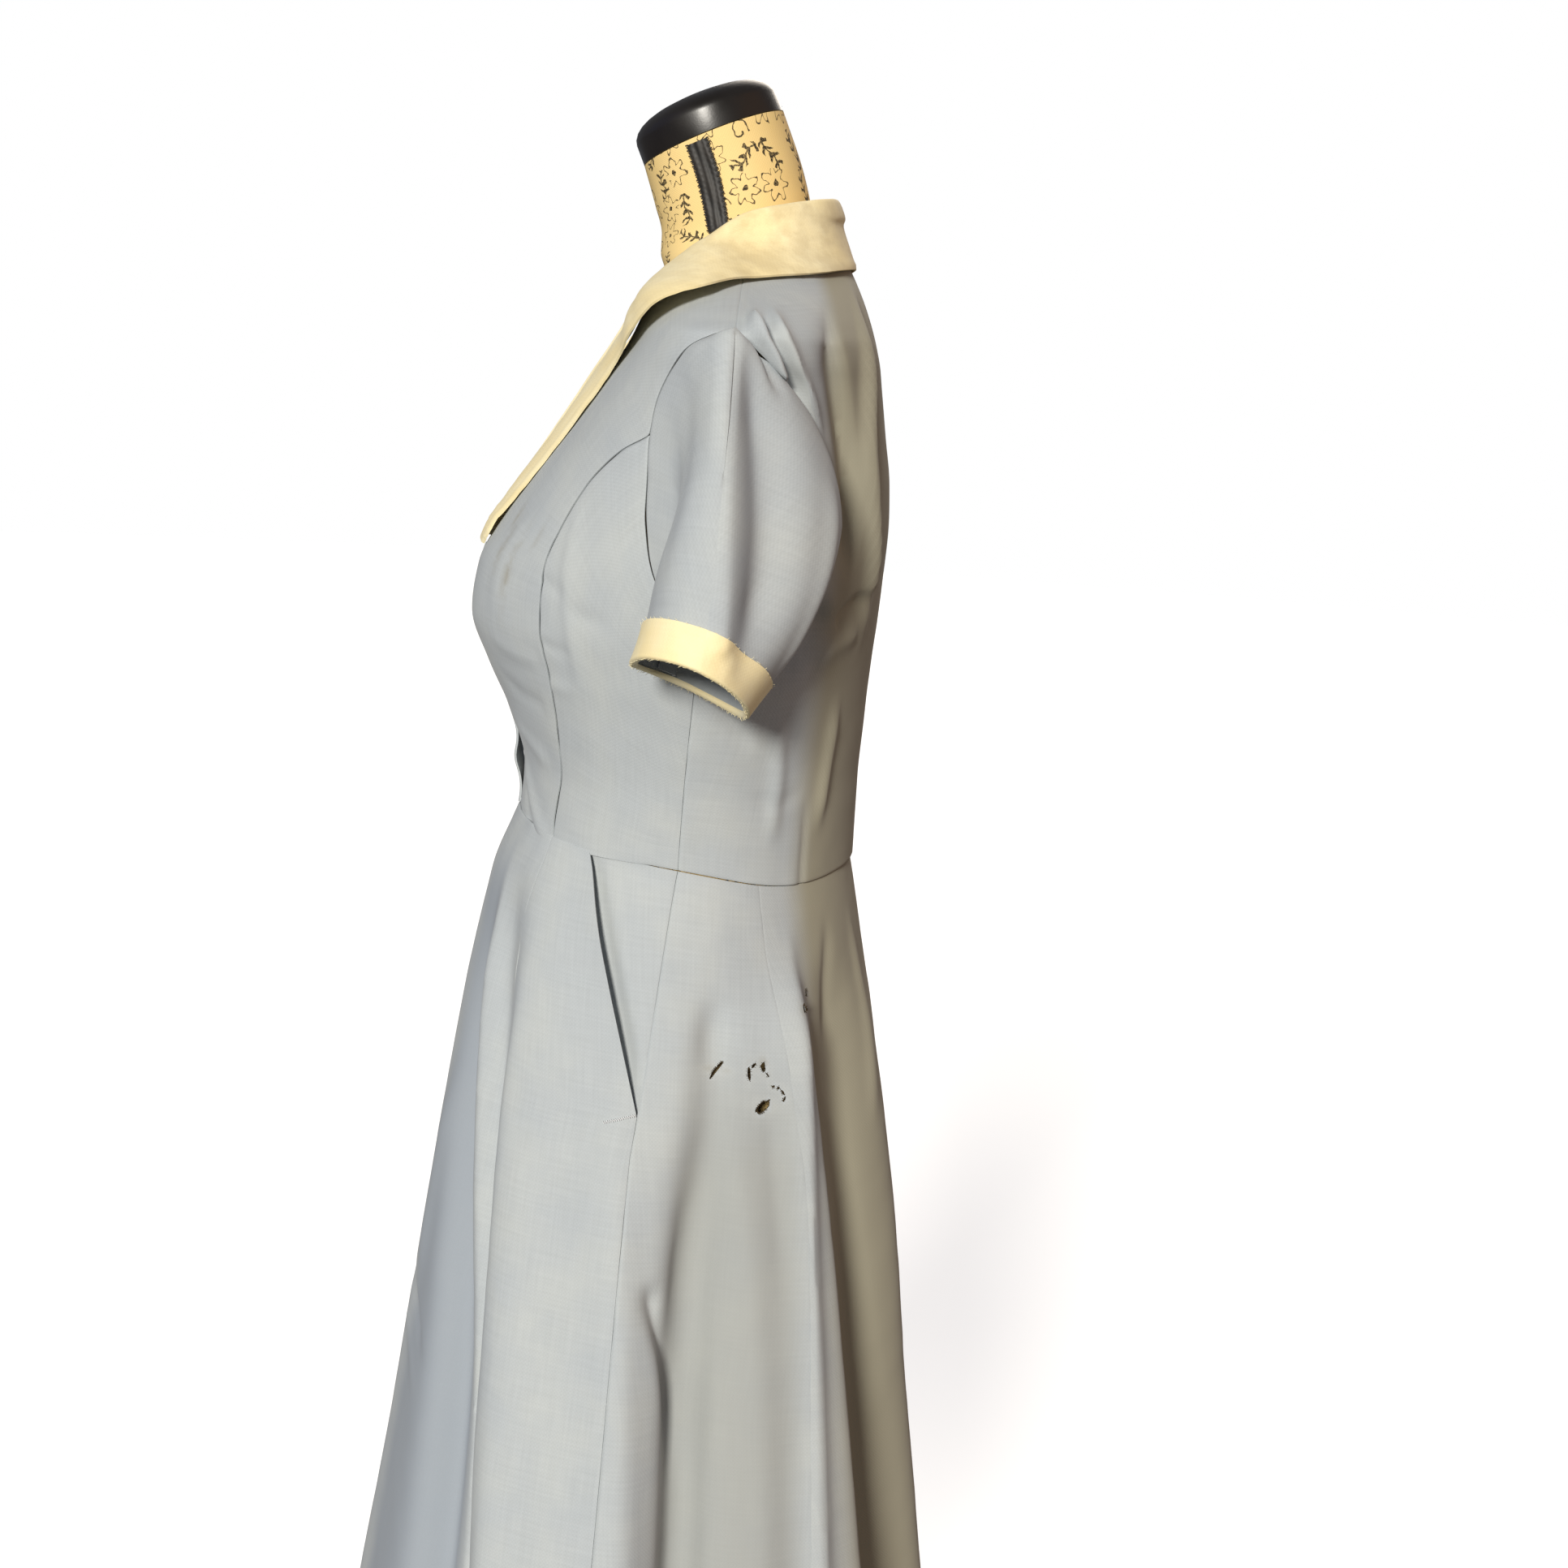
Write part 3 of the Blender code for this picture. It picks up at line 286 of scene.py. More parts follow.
def through(points: Sequence, steps: int) -> Grid:
    """A smooth line through a few (turn, height) points, cut into even steps.

    Args:
        points: The line's own points.
        steps: How many steps it is cut into.

    Returns:
        steps + 1 points.
    """
    points = np.asarray(points, float)
    scale = np.array([DEGREE] + [1.0] * (points.shape[1] - 1))
    length = np.concatenate([[0], np.cumsum(np.linalg.norm(np.diff(points, axis=0) * scale, axis=1))])
    at = np.linspace(0, length[-1], steps + 1)
    ahead = np.vstack([2 * points[0] - points[1], points, 2 * points[-1] - points[-2]])
    slope = np.empty_like(points)
    for k in range(len(points)):
        before = length[k] - length[k - 1] if k else length[1] - length[0]
        after = length[k + 1] - length[k] if k + 1 < len(points) else before
        slope[k] = (ahead[k + 2] - ahead[k]) / (before + after)
    i = np.clip(np.searchsorted(length, at, side="right") - 1, 0, len(points) - 2)
    h = (length[i + 1] - length[i])[:, None]
    t = (at[:, None] - length[i][:, None]) / h
    return hermite(t, points[i], points[i + 1], h * slope[i], h * slope[i + 1])


def ring_point(table: Sequence, turn: Grid, rise: Grid) -> tuple:
    """x and y on a body table's surface, and how far the section's tilt moves the height."""
    table = np.array(table, float)
    half_width, side_y, front, back, tilt = (cubic(table[:, 0], table[:, k], rise) for k in range(1, 6))
    angle = np.radians(turn)
    reach = np.where(np.cos(angle) >= 0, front + side_y, back - side_y)
    y = side_y - reach * np.cos(angle)
    return half_width * np.sin(angle), y, (y - side_y) * np.tan(np.radians(tilt))


def smooth(value: Grid) -> Grid:
    """An eased step from 0 to 1."""
    value = np.clip(value, 0.0, 1.0)
    return value * value * (3 - 2 * value)


def lumps(x: Grid, y: Grid, seed: int) -> Grid:
    """Soft noise between -1 and 1, with lumps one unit across; the seed picks it."""
    table = np.random.default_rng(seed).uniform(-1, 1, (64, 64))
    i, j = np.floor(x).astype(int), np.floor(y).astype(int)
    u, v = smooth(x - i), smooth(y - j)
    corner = [table[(i + a) % 64, (j + b) % 64] for a in (0, 1) for b in (0, 1)]
    low = corner[0] * (1 - u) + corner[2] * u
    high = corner[1] * (1 - u) + corner[3] * u
    return low * (1 - v) + high * v


def crease_field(creases: Sequence, turn: Grid, height: Grid, degree: Grid) -> Grid:
    """How far the creases move each point out.

    Args:
        creases: The creases.
        turn: Each point's turn.
        height: Each point's height.
        degree: The metres that one degree of turn spans at each point.

    Returns:
        Metres along the surface's normal.
    """
    out = np.zeros(turn.shape)
    low, high = turn.min(), turn.max()
    for crease in creases:
        line = through(crease.path, CREASE_STEPS)
        margin = 3 * max(crease.near, crease.far) / degree.min()
        if line[:, 0].max() + margin < low or line[:, 0].min() - margin > high:
            continue
        best = np.full(turn.shape, np.inf)
        share = np.zeros(turn.shape)
        side = np.ones(turn.shape)
        for k in range(CREASE_STEPS):
            ex = (line[k + 1, 0] - line[k, 0]) * degree
            ey = line[k + 1, 1] - line[k, 1]
            dx = (turn - line[k, 0]) * degree
            dy = height - line[k, 1]
            s = np.clip((dx * ex + dy * ey) / (ex * ex + ey * ey), 0, 1)
            gap = (dx - s * ex) ** 2 + (dy - s * ey) ** 2
            nearer = gap < best
            best = np.where(nearer, gap, best)
            share = np.where(nearer, (k + s) / CREASE_STEPS, share)
            side = np.where(nearer, np.sign(ex * dy - ey * dx), side)
        width = np.where(side > 0, crease.near, crease.far)
        ends = smooth(share / crease.fade_in) * smooth((1 - share) / crease.fade_out)
        out += crease.height * ends * np.exp(-(((best + CREST**2) / width**2) ** (crease.point / 2)))
    return out


def surface_normal(surface: Surface, turn: Grid, height: Grid, handed: int) -> Grid:
    """Normals that point outwards; handed is 1 where height is a rise and -1 where it is a drop."""
    along_turn = surface(turn + TURN_STEP, height) - surface(turn - TURN_STEP, height)
    along_height = surface(turn, height + STEP) - surface(turn, height - STEP)
    return unit(np.cross(along_turn, along_height) * handed)


def grid_normal(points: Grid, closed: bool) -> Grid:
    """Unit normals of a grid of points, rows along the first axis; closed if each row is a loop."""
    if closed:
        across = np.roll(points, -1, 1) - np.roll(points, 1, 1)
    else:
        across = np.gradient(points, axis=1)
    return unit(np.cross(across, np.gradient(points, axis=0)))


def bodice_surface(turn: Grid, rise: Grid) -> Grid:
    """The outer face of the bodice, with its two bust cups."""
    turn, rise = np.broadcast_arrays(np.asarray(turn, float), np.asarray(rise, float))
    x, y, _ = ring_point(BODICE, turn, rise)
    front = np.clip(np.cos(np.radians(turn)), 0, 1)
    y = y - (CUP.at(x, rise) - CLEFT.at(x, rise)) * front
    return np.stack([x, y, WAIST + rise], -1)


def waist_rise(turn: Grid) -> Grid:
    """How far the waist seam lies above its height at the sides; it sags a little at each side back."""
    back = np.minimum(np.abs(turn), 360 - np.abs(turn))
    return WAIST_TILT * np.cos(np.radians(turn)) - WAIST_SAG * np.exp(-(((back - 126) / 24) ** 2))


def stations(cuts: Grid, at: Grid, start: Grid) -> Grid:
    """Rows of points read between the given rows, on smooth curves; start stands before the first."""
    ahead = np.concatenate([start[None], cuts, (2 * cuts[-1] - cuts[-2])[None]])
    i = np.minimum(at.astype(int), len(cuts) - 2)
    t = (at - i)[:, None, None]
    before, first, last, after = ahead[i], ahead[i + 1], ahead[i + 2], ahead[i + 3]
    return hermite(t, first, last, (last - before) / 2, (after - first) / 2)


def spaced(length: float, step: float) -> Grid:
    """Rising places from 0 to 1 along an edge, a step apart in metres and closer beside the seams."""
    close = np.array([0.0, 0.0005, 0.0011, 0.0019, 0.0030, 0.0045])
    count = max(2, round((length - 2 * close[-1]) / step))
    middle = np.linspace(close[-1], length - close[-1], count + 1)[1:-1]
    return np.concatenate([close, middle, length - close[::-1]]) / length


def read_edge(edge: Grid, at: Grid) -> Grid:
    """An evenly cut edge read at places from 0 to 1."""
    where = at * (len(edge) - 1)
    return np.stack([np.interp(where, np.arange(len(edge)), edge[:, k]) for k in range(edge.shape[1])], -1)


def fill(bottom: Grid, right: Grid, top: Grid, left: Grid, across: Grid, up: Grid) -> Grid:
    """A grid of (turn, height) filled between four edges.

    Args:
        bottom: The lower edge, from left to right.
        right: The right edge, upwards.
        top: The upper edge, from left to right.
        left: The left edge, upwards.
        across: Where the columns lie, from 0 to 1.
        up: Where the rows lie, from 0 to 1.

    Returns:
        Rows of (turn, height).
    """
    u, v = across[None, :, None], up[:, None, None]
    low, high = read_edge(bottom, across)[None], read_edge(top, across)[None]
    start, end = read_edge(left, up)[:, None], read_edge(right, up)[:, None]
    corners = (
        (1 - u) * (1 - v) * bottom[0] + u * (1 - v) * bottom[-1]
        + (1 - u) * v * top[0] + u * v * top[-1]
    )
    return (1 - v) * low + v * high + (1 - u) * start + u * end - corners


def linear(colour: str) -> tuple:
    """A colour written as sRGB hex, as linear RGBA."""
    parts = [int(colour[k:k + 2], 16) / 255 for k in (1, 3, 5)]
    return (*(c / 12.92 if c <= 0.04045 else ((c + 0.055) / 1.055) ** 2.4 for c in parts), 1.0)


def add_node(tree: Tree, kind: str, values: dict | None = None, **settings) -> bpy.types.Node:
    """Adds a node with its settings, values and links.

    Args:
        tree: The tree it goes in.
        kind: The node's type.
        values: For each input, by name or number, a value or the socket that it is linked from.
        settings: The node's own properties.

    Returns:
        The node.
    """
    made = tree.nodes.new(kind)
    for key, value in settings.items():
        setattr(made, key, value)
    for key, value in (values or {}).items():
        if isinstance(value, Socket):
            tree.links.new(value, made.inputs[key])
        else:
            made.inputs[key].default_value = value
    return made


def calc(tree: Tree, operation: str, *values: Socket | float, clamp: bool = False) -> Socket:
    """What a Math node makes of up to three values."""
    return add_node(tree, "ShaderNodeMath", dict(enumerate(values)), operation=operation,
                    use_clamp=clamp).outputs[0]


def vector(tree: Tree, operation: str, *values: Socket | tuple) -> Socket:
    """What a Vector Math node makes of up to three vectors."""
    return add_node(tree, "ShaderNodeVectorMath", dict(enumerate(values)), operation=operation).outputs[0]


def scaled(tree: Tree, colour: Socket | tuple, tone: Socket) -> Socket:
    """A colour made lighter or darker by a tone about 1."""
    return add_node(tree, "ShaderNodeVectorMath", {0: colour, "Scale": tone}, operation="SCALE").outputs[0]


def noise(tree: Tree, place: Socket, scale: float, detail: float = 2.0, roughness: float = 0.5,
          dimensions: str = "2D") -> Socket:
    """Cloudy noise between 0 and 1."""
    values = {"Vector": place, "Scale": scale, "Detail": detail, "Roughness": roughness}
    return add_node(tree, "ShaderNodeTexNoise", values, noise_dimensions=dimensions).outputs["Fac"]


def remap(tree: Tree, value: Socket, low: float, high: float, to_low: float = 0.0,
          to_high: float = 1.0) -> Socket:
    """A value's range stretched to another one and held within it."""
    values = {"Value": value, "From Min": low, "From Max": high, "To Min": to_low, "To Max": to_high}
    return add_node(tree, "ShaderNodeMapRange", values).outputs[0]


def blend(tree: Tree, share: Socket, first: Socket | tuple, last: Socket | tuple) -> Socket:
    """A mix of two colours."""
    return add_node(tree, "ShaderNodeMix", {0: share, 6: first, 7: last}, data_type="RGBA").outputs[2]


def choose(tree: Tree, value: Socket, limit: float, below: Socket, above: Socket) -> Socket:
    """One of two values, by which side of a limit a third value lies."""
    return add_node(tree, "ShaderNodeMix", {0: calc(tree, "GREATER_THAN", value, limit), 2: below,
                                            3: above}).outputs[0]


def bump(tree: Tree, height: Socket, strength: float, distance: float) -> Socket:
    """Normals bent by a height."""
    values = {"Height": height, "Strength": strength, "Distance": distance}
    return add_node(tree, "ShaderNodeBump", values).outputs[0]


def woven(tree: Tree, uv: Socket, thread_mm: float) -> Socket:
    """The height of a plain weave, from -1 to 1."""
    wave = vector(tree, "SINE", vector(tree, "MULTIPLY", uv, (1000 * math.pi / thread_mm,) * 3))
    split = add_node(tree, "ShaderNodeSeparateXYZ", {0: wave}).outputs
    return calc(tree, "MULTIPLY", split[0], split[1])


def metres(tree: Tree) -> Socket:
    """The piece's own UV map, which is in metres of cloth."""
    return add_node(tree, "ShaderNodeUVMap", uv_map="UVMap").outputs["UV"]


def in_place(tree: Tree) -> Socket:
    """Object coordinates."""
    return add_node(tree, "ShaderNodeTexCoord").outputs["Object"]


def attribute(tree: Tree, name: str) -> Socket:
    """One of the mesh's own attributes."""
    return add_node(tree, "ShaderNodeAttribute", attribute_name=name).outputs["Fac"]


def new_material(name: str) -> tuple:
    """An empty material of that name, and its node tree."""
    made = bpy.data.materials.new(name)
    made.use_nodes = True
    made.node_tree.nodes.clear()
    return made, made.node_tree


def end_with(tree: Tree, shader: Socket) -> None:
    """Gives a material its output."""
    add_node(tree, "ShaderNodeOutputMaterial", {0: shader})


def coat(tree: Tree, colour: Socket, roughness: Socket | float, others: dict) -> None:
    """Ends a material with its colour, its roughness and other inputs of the shader."""
    values = {"Base Color": colour, "Roughness": roughness, **others}
    end_with(tree, add_node(tree, "ShaderNodeBsdfPrincipled", values).outputs[0])


@dataclass(frozen=True)
class WovenCotton:
    """Plain woven cotton. Dyed yarns of slightly uneven thickness give faint streaks both ways, and
    washing has faded it in soft patches. Stains come from one of the piece's own attributes; where that is
    below zero, shade is painted on in a darker, bluer colour. A second attribute says how much warm olive
    shade is painted on."""

    name: str
    colour: str
    faded: str
    soiled: str
    # painted shade: a darker bluer colour for shaded folds and hollows, then a warm olive one for the shaded
    # back
    deep: str = "#959da7"
    aged: str = "#9f9b89"
    thread_mm: float = 1.1
    streak_mm: float = 1.6
    streak_length: float = 24.0
    streak_depth: float = 0.05
    bump_mm: float = 0.07
    roughness: float = 0.88
    sheen: float = 0.10
    stain_mm: float = 14.0

    def make(self) -> Material:
        """Builds the material. The weave is drawn about twice as coarse as real, so that it shows."""
        made, tree = new_material(self.name)
        uv = metres(tree)
        short, long = 1000 / self.streak_mm, 1000 / (self.streak_mm * self.streak_length)
        streak = calc(tree, "ADD", *(
            noise(tree, vector(tree, "MULTIPLY", uv, (*scale, 1.0)), 1.0, 3.0, 0.6)
            for scale in ((short, long), (long, short))
        ))
        weave = woven(tree, uv, self.thread_mm)
        # faded patches about five centimetres across, then the streaks and the yarns over them
        fade = remap(tree, noise(tree, uv, 22.0, 4.0), 0.35, 0.70)
        base = blend(tree, fade, linear(self.colour), linear(self.faded))
        depth = self.streak_depth
        uneven = remap(tree, streak, 0.6, 1.4, 1 - depth, 1 + depth)
        yarn = remap(tree, weave, -1.0, 1.0, 1 - depth * 0.7, 1 + depth * 0.7)
        toned = scaled(tree, base, calc(tree, "MULTIPLY", uneven, yarn))
        # painted shade: darker and bluer where the first attribute is below zero, then warm olive by the
        # second; ragged brown soil on top
        stain = attribute(tree, "stain")
        dyed = blend(tree, calc(tree, "MULTIPLY", stain, -1.0, clamp=True), toned, linear(self.deep))
        shade_tinted = blend(tree, attribute(tree, "aged"), dyed, linear(self.aged))
        ragged = remap(tree, noise(tree, uv, 1000 / self.stain_mm, 5.0, 0.62), 0.36, 0.62)
        soil = calc(tree, "MULTIPLY", stain, ragged, clamp=True)
        relief = calc(tree, "MULTIPLY_ADD", weave, 0.5, streak)
        coat(tree, blend(tree, soil, shade_tinted, linear(self.soiled)), self.roughness, {
            "Normal": bump(tree, relief, 0.5, self.bump_mm / 1000), "Sheen Weight": self.sheen,
            "Sheen Roughness": 0.5, "Specular IOR Level": 0.25,
        })
        return made


@dataclass(frozen=True)
class CottonThread:
    """Spun cotton sewing thread: matt, one colour, with a fine twist that shows as a slight unevenness."""

    name: str
    colour: str
    twist_mm: float = 0.8

    def make(self) -> Material:
        """Builds the material."""
        made, tree = new_material(self.name)
        twist = noise(tree, in_place(tree), 1000 / self.twist_mm, dimensions="3D")
        colour = scaled(tree, linear(self.colour)[:3], remap(tree, twist, 0.0, 1.0, 0.8, 1.1))
        coat(tree, colour, 0.85, {"Specular IOR Level": 0.25})
        return made


@dataclass(frozen=True)
class PrintedLinen:
    """Fine linen stretched on the form: warm cream, with scrolls and small rosettes printed in dark ink,
    one to a cell of an uneven layout, and a weave that shows only close by."""

    name: str
    colour: str
    shaded: str
    ink: str
    cell_mm: float = 21.0
    line_mm: float = 1.0
    thread_mm: float = 0.9
    scroll_pitch: float = 0.0042
    sprigs_from: float = 0.42
    rosettes_from: float = 0.72

    def make(self) -> Material:
        """Builds the material."""
        made, tree = new_material(self.name)
        uv = metres(tree)
        # the print is bent by up to two millimetres, so that no line is straight
        waver = add_node(tree, "ShaderNodeTexNoise", {"Vector": uv, "Scale": 160.0}, noise_dimensions="2D")
        bent = vector(tree, "SUBTRACT", waver.outputs["Color"], (0.5, 0.5, 0.5))
        place = vector(tree, "MULTIPLY_ADD", bent, (0.004, 0.004, 0.0), uv)
        cells = add_node(tree, "ShaderNodeTexVoronoi", {"Vector": place, "Scale": 1000 / self.cell_mm,
                                                        "Randomness": 0.55}, voronoi_dimensions="2D").outputs
        pick = add_node(tree, "ShaderNodeSeparateColor", {0: cells["Color"]}).outputs
        turned = add_node(tree, "ShaderNodeVectorRotate", {
            "Vector": vector(tree, "SUBTRACT", place, cells["Position"]),
            "Angle": calc(tree, "MULTIPLY", pick[0], 2 * math.pi),
        }, rotation_type="Z_AXIS").outputs[0]
        radius = add_node(tree, "ShaderNodeVectorMath", {0: turned}, operation="LENGTH").outputs[1]
        x, y, _ = add_node(tree, "ShaderNodeSeparateXYZ", {0: turned}).outputs
        angle = calc(tree, "ARCTAN2", y, x)
        mark = choose(tree, pick[1], self.sprigs_from, self.scroll(tree, radius, angle),
                      self.sprig(tree, x, y))
        mark = choose(tree, pick[1], self.rosettes_from, mark, self.rosette(tree, radius, angle))
        # worn ink over a slightly cloudy cloth
        printed = calc(tree, "MULTIPLY", mark, remap(tree, noise(tree, uv, 900.0), 0.3, 0.6, 0.7, 1.0))
        base = blend(tree, noise(tree, uv, 30.0, 4.0), linear(self.colour), linear(self.shaded))
        coat(tree, blend(tree, printed, base, linear(self.ink)), 0.8, {
            "Normal": bump(tree, woven(tree, uv, self.thread_mm), 0.4, 0.0001), "Specular IOR Level": 0.3,
        })
        return made

    def stroke(self, tree: Tree, away: Socket) -> Socket:
        """1 where the distance to a drawn line, in metres, is under half the line's width."""
        half = self.line_mm / 2000
        return remap(tree, calc(tree, "ABSOLUTE", away), half * 0.7, half * 1.3, 1.0, 0.0)

    def within(self, tree: Tree, mark: Socket, radius: Socket, low_mm: float, high_mm: float) -> Socket:
        """The mark, kept only between two radii."""
        inner = calc(tree, "GREATER_THAN", radius, low_mm / 1000)
        outer = calc(tree, "LESS_THAN", radius, high_mm / 1000)
        return calc(tree, "MULTIPLY", mark, calc(tree, "MULTIPLY", inner, outer))

    def scroll(self, tree: Tree, radius: Socket, angle: Socket) -> Socket:
        """One turn of a spiral line, two to six millimetres from its middle."""
        along = calc(tree, "MULTIPLY_ADD", angle, self.scroll_pitch / (2 * math.pi), radius)
        gap = calc(tree, "SUBTRACT", calc(tree, "PINGPONG", along, self.scroll_pitch), self.scroll_pitch)
        return self.within(tree, self.stroke(tree, gap), radius, 0.6, 9.5)

    def rosette(self, tree: Tree, radius: Socket, angle: Socket) -> Socket:
        """Seven petals drawn as one line round a dot."""
        petal = calc(tree, "COSINE", calc(tree, "MULTIPLY", angle, 7.0))
        reach = calc(tree, "MULTIPLY_ADD", petal, 0.0022, 0.0075)
        line = self.stroke(tree, calc(tree, "SUBTRACT", radius, reach))
        return calc(tree, "MAXIMUM", line, calc(tree, "LESS_THAN", radius, 0.0016))

    def sprig(self, tree: Tree, x: Socket, y: Socket) -> Socket:
        """A wavy stem with small leaves on both sides."""
        sway = calc(tree, "SINE", calc(tree, "MULTIPLY", x, 300.0))
        off = calc(tree, "ABSOLUTE", calc(tree, "MULTIPLY_ADD", sway, -0.0016, y))
        along = calc(tree, "MULTIPLY_ADD", off, -0.7, x)
        leaf = calc(tree, "LESS_THAN", calc(tree, "PINGPONG", along, 0.0026), 0.0011)
        leaf = calc(tree, "MULTIPLY", leaf, calc(tree, "LESS_THAN", off, 0.0040))
        mark = calc(tree, "MAXIMUM", self.stroke(tree, off), leaf)
        return self.within(tree, mark, calc(tree, "ABSOLUTE", x), -1.0, 11.0)


@dataclass(frozen=True)
class SpunBraid:
    """Black rayon braid: close diagonal ribs of thread with a dull gloss."""

    name: str
    colour: str
    rib_mm: float = 1.2

    def make(self) -> Material:
        """Builds the material."""
        made, tree = new_material(self.name)
        ribs = add_node(tree, "ShaderNodeTexWave", {
            "Vector": in_place(tree), "Scale": 1000 / self.rib_mm / 20, "Distortion": 1.5, "Detail": 1.0,
        }, bands_direction="DIAGONAL").outputs["Fac"]
        colour = scaled(tree, linear(self.colour)[:3], remap(tree, ribs, 0.0, 1.0, 0.6, 1.8))
        coat(tree, colour, 0.55, {"Normal": bump(tree, ribs, 0.6, 0.0004), "Sheen Weight": 0.2})
        return made


@dataclass(frozen=True)
class PaintedSteel:
    """Steel under black enamel, sprayed: a faint orange peel, and small rubs that are duller."""

    name: str
    colour: str
    peel_mm: float = 2.5
    rub_mm: float = 40.0

    def make(self) -> Material:
        """Builds the material."""
        made, tree = new_material(self.name)
        peel = noise(tree, in_place(tree), 1000 / self.peel_mm, dimensions="3D")
        rubs = noise(tree, in_place(tree), 1000 / self.rub_mm, 6.0, dimensions="3D")
        colour = scaled(tree, linear(self.colour)[:3], remap(tree, rubs, 0.0, 1.0, 0.85, 1.25))
        rough = remap(tree, rubs, 0.35, 0.7, 0.28, 0.5)
        coat(tree, colour, rough, {"Normal": bump(tree, peel, 0.25, 0.0001)})
        return made


class Finishes:
    """Every material of the dress and its form, each made once."""

    def __init__(self) -> None:
        """Builds the materials."""
        self.blue = WovenCotton("blue_woven_cotton", "#b0b6ba", "#b7bcbd", "#85795c").make()
        self.cream = WovenCotton("cream_woven_cotton", "#fae8b4", "#fcf0c8", "#c9b27e", thread_mm=1.2,
                                 streak_depth=0.025, stain_mm=22.0).make()
        self.blue_thread = CottonThread("blue_cotton_thread", "#8f9cab").make()
        self.white_thread = CottonThread("white_cotton_thread", "#e6e8ea").make()
        self.cream_thread = CottonThread("cream_cotton_thread", "#f6ecc4").make()
        # thread for the frays in the worn holes, in the dark brown of the shade inside them: painted shadow
        self.shadow_brown_fray = CottonThread("soiled_cotton_fray", "#4a3d28").make()
        self.linen = PrintedLinen("printed_linen", "#f6da9a", "#efcf8a", "#2b241c").make()
        self.braid = SpunBraid("black_rayon_braid", "#17130f").make()
        self.steel = PaintedSteel("black_enamelled_steel", "#1c1c1e").make()
        self.cap = PaintedSteel("black_lacquered_cap", "#15110e", peel_mm=1.2).make()


def add_piece(name: str, points: Grid, faces: Sequence, finish: Material, corner_uv: Grid,
              stain: Grid) -> Object:
    """A mesh object at the origin.

    Args:
        name: The object's name.
        points: Its points.
        faces: Its faces as point numbers.
        finish: Its material.
        corner_uv: A UV pair for each face corner, in metres.
        stain: How soiled each point is, and below zero how much shade is painted on it.

    Returns:
        The object, its faces turned outwards.
    """
    label = f"{name}_dressed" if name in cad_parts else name
    mesh = bpy.data.meshes.new(label)
    mesh.from_pydata(points.tolist(), [], faces)
    mesh.materials.append(finish)
    mesh.shade_smooth()
    mesh.set_sharp_from_angle(angle=math.radians(SHARP))
    mesh.uv_layers.new(name="UVMap").data.foreach_set("uv", np.asarray(corner_uv, np.float32).ravel())
    set_attribute(mesh, "stain", stain)
    face_out(mesh)
    return placed(label, mesh)


def placed(name: str, data: bpy.types.ID) -> Object:
    """An object in the scene, for a mesh, a light or a camera."""
    made = bpy.data.objects.new(name, data)
    bpy.context.scene.collection.objects.link(made)
    return made


def set_attribute(mesh: bpy.types.Mesh, name: str, values: Grid) -> None:
    """Gives each point of a mesh a number."""
    values = np.asarray(values, np.float32).ravel()
    mesh.attributes.new(name, "FLOAT", "POINT").data.foreach_set("value", values)


def wall(name: str, outer: Grid, normal: Grid, thickness: float, finish: Material, stain: Grid,
         closed: bool = False, aged: Grid | None = None) -> Object:
    """A cloth wall from its outer grid.

    Args:
        name: The object's name.
        outer: The outer face's points, rows along the first axis.
        normal: A normal for each of them.
        thickness: How far in the inner face lies.
        finish: Its material.
        stain: How soiled each outer point is, and below zero how much shade is painted on it.
        closed: True if each row is a loop.
        aged: How much warm olive shade is painted on each outer point.

    Returns:
        The object, with its UV map in metres of cloth.
    """
    rows, columns = outer.shape[:2]
    points = np.concatenate([outer.reshape(-1, 3), (outer - normal * thickness).reshape(-1, 3)])
    ahead = np.concatenate([outer, outer[:, :1]], 1) if closed else outer
    u = lengths(ahead, 1)
    v = np.broadcast_to(lengths(ahead, 0).mean(1, keepdims=True), u.shape)
    chart = np.stack([u - u.mean(1, keepdims=True), v], -1)
    spans = columns if closed else columns - 1
    r, c = (k.ravel() for k in np.meshgrid(np.arange(rows - 1), np.arange(spans), indexing="ij"))
    # each kind of face: its corners as (row, column), and which of them are on the inner layer
    outside, inside, rim = (0, 0, 0, 0), (1, 1, 1, 1), (0, 0, 1, 1)
    along, low, high = np.arange(spans), np.zeros(spans, int), np.full(spans, rows - 1)
    kinds = [
        (((r, c), (r, c + 1), (r + 1, c + 1), (r + 1, c)), outside),
        (((r, c), (r + 1, c), (r + 1, c + 1), (r, c + 1)), inside),
        (((low, along + 1), (low, along), (low, along), (low, along + 1)), rim),
        (((high, along), (high, along + 1), (high, along + 1), (high, along)), rim),
    ]
    if not closed:
        up, left, right = np.arange(rows - 1), np.zeros(rows - 1, int), np.full(rows - 1, columns - 1)
        kinds.append((((up, left), (up + 1, left), (up + 1, left), (up, left)), rim))
        kinds.append((((up + 1, right), (up, right), (up, right), (up + 1, right)), rim))
    faces, uv = [], []
    for places, layers in kinds:
        faces.append(np.stack([row * columns + column % columns + rows * columns * layer
                               for (row, column), layer in zip(places, layers)], -1))
        uv.append(np.stack([chart[place] for place in places], 1))
    made = add_piece(name, points, np.concatenate(faces).tolist(), finish, np.concatenate(uv),
                     np.tile(stain.ravel(), 2))
    if aged is not None:
        set_attribute(made.data, "aged", np.tile(aged.ravel(), 2))
    return made


def face_out(mesh: bpy.types.Mesh) -> None:
    """Turns a closed mesh's faces outwards."""
    work = bmesh.new()
    work.from_mesh(mesh)
    bmesh.ops.recalc_face_normals(work, faces=work.faces)
    work.to_mesh(mesh)
    work.free()


def settle(piece: Object, slot: Slot, *nodes: str) -> None:
    """Puts a finished piece on its body and in place of its solids."""
    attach(piece, "root")
    if nodes:
        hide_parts(*nodes)
    LOG.info("%s: %d faces", piece.name, len(piece.data.polygons))


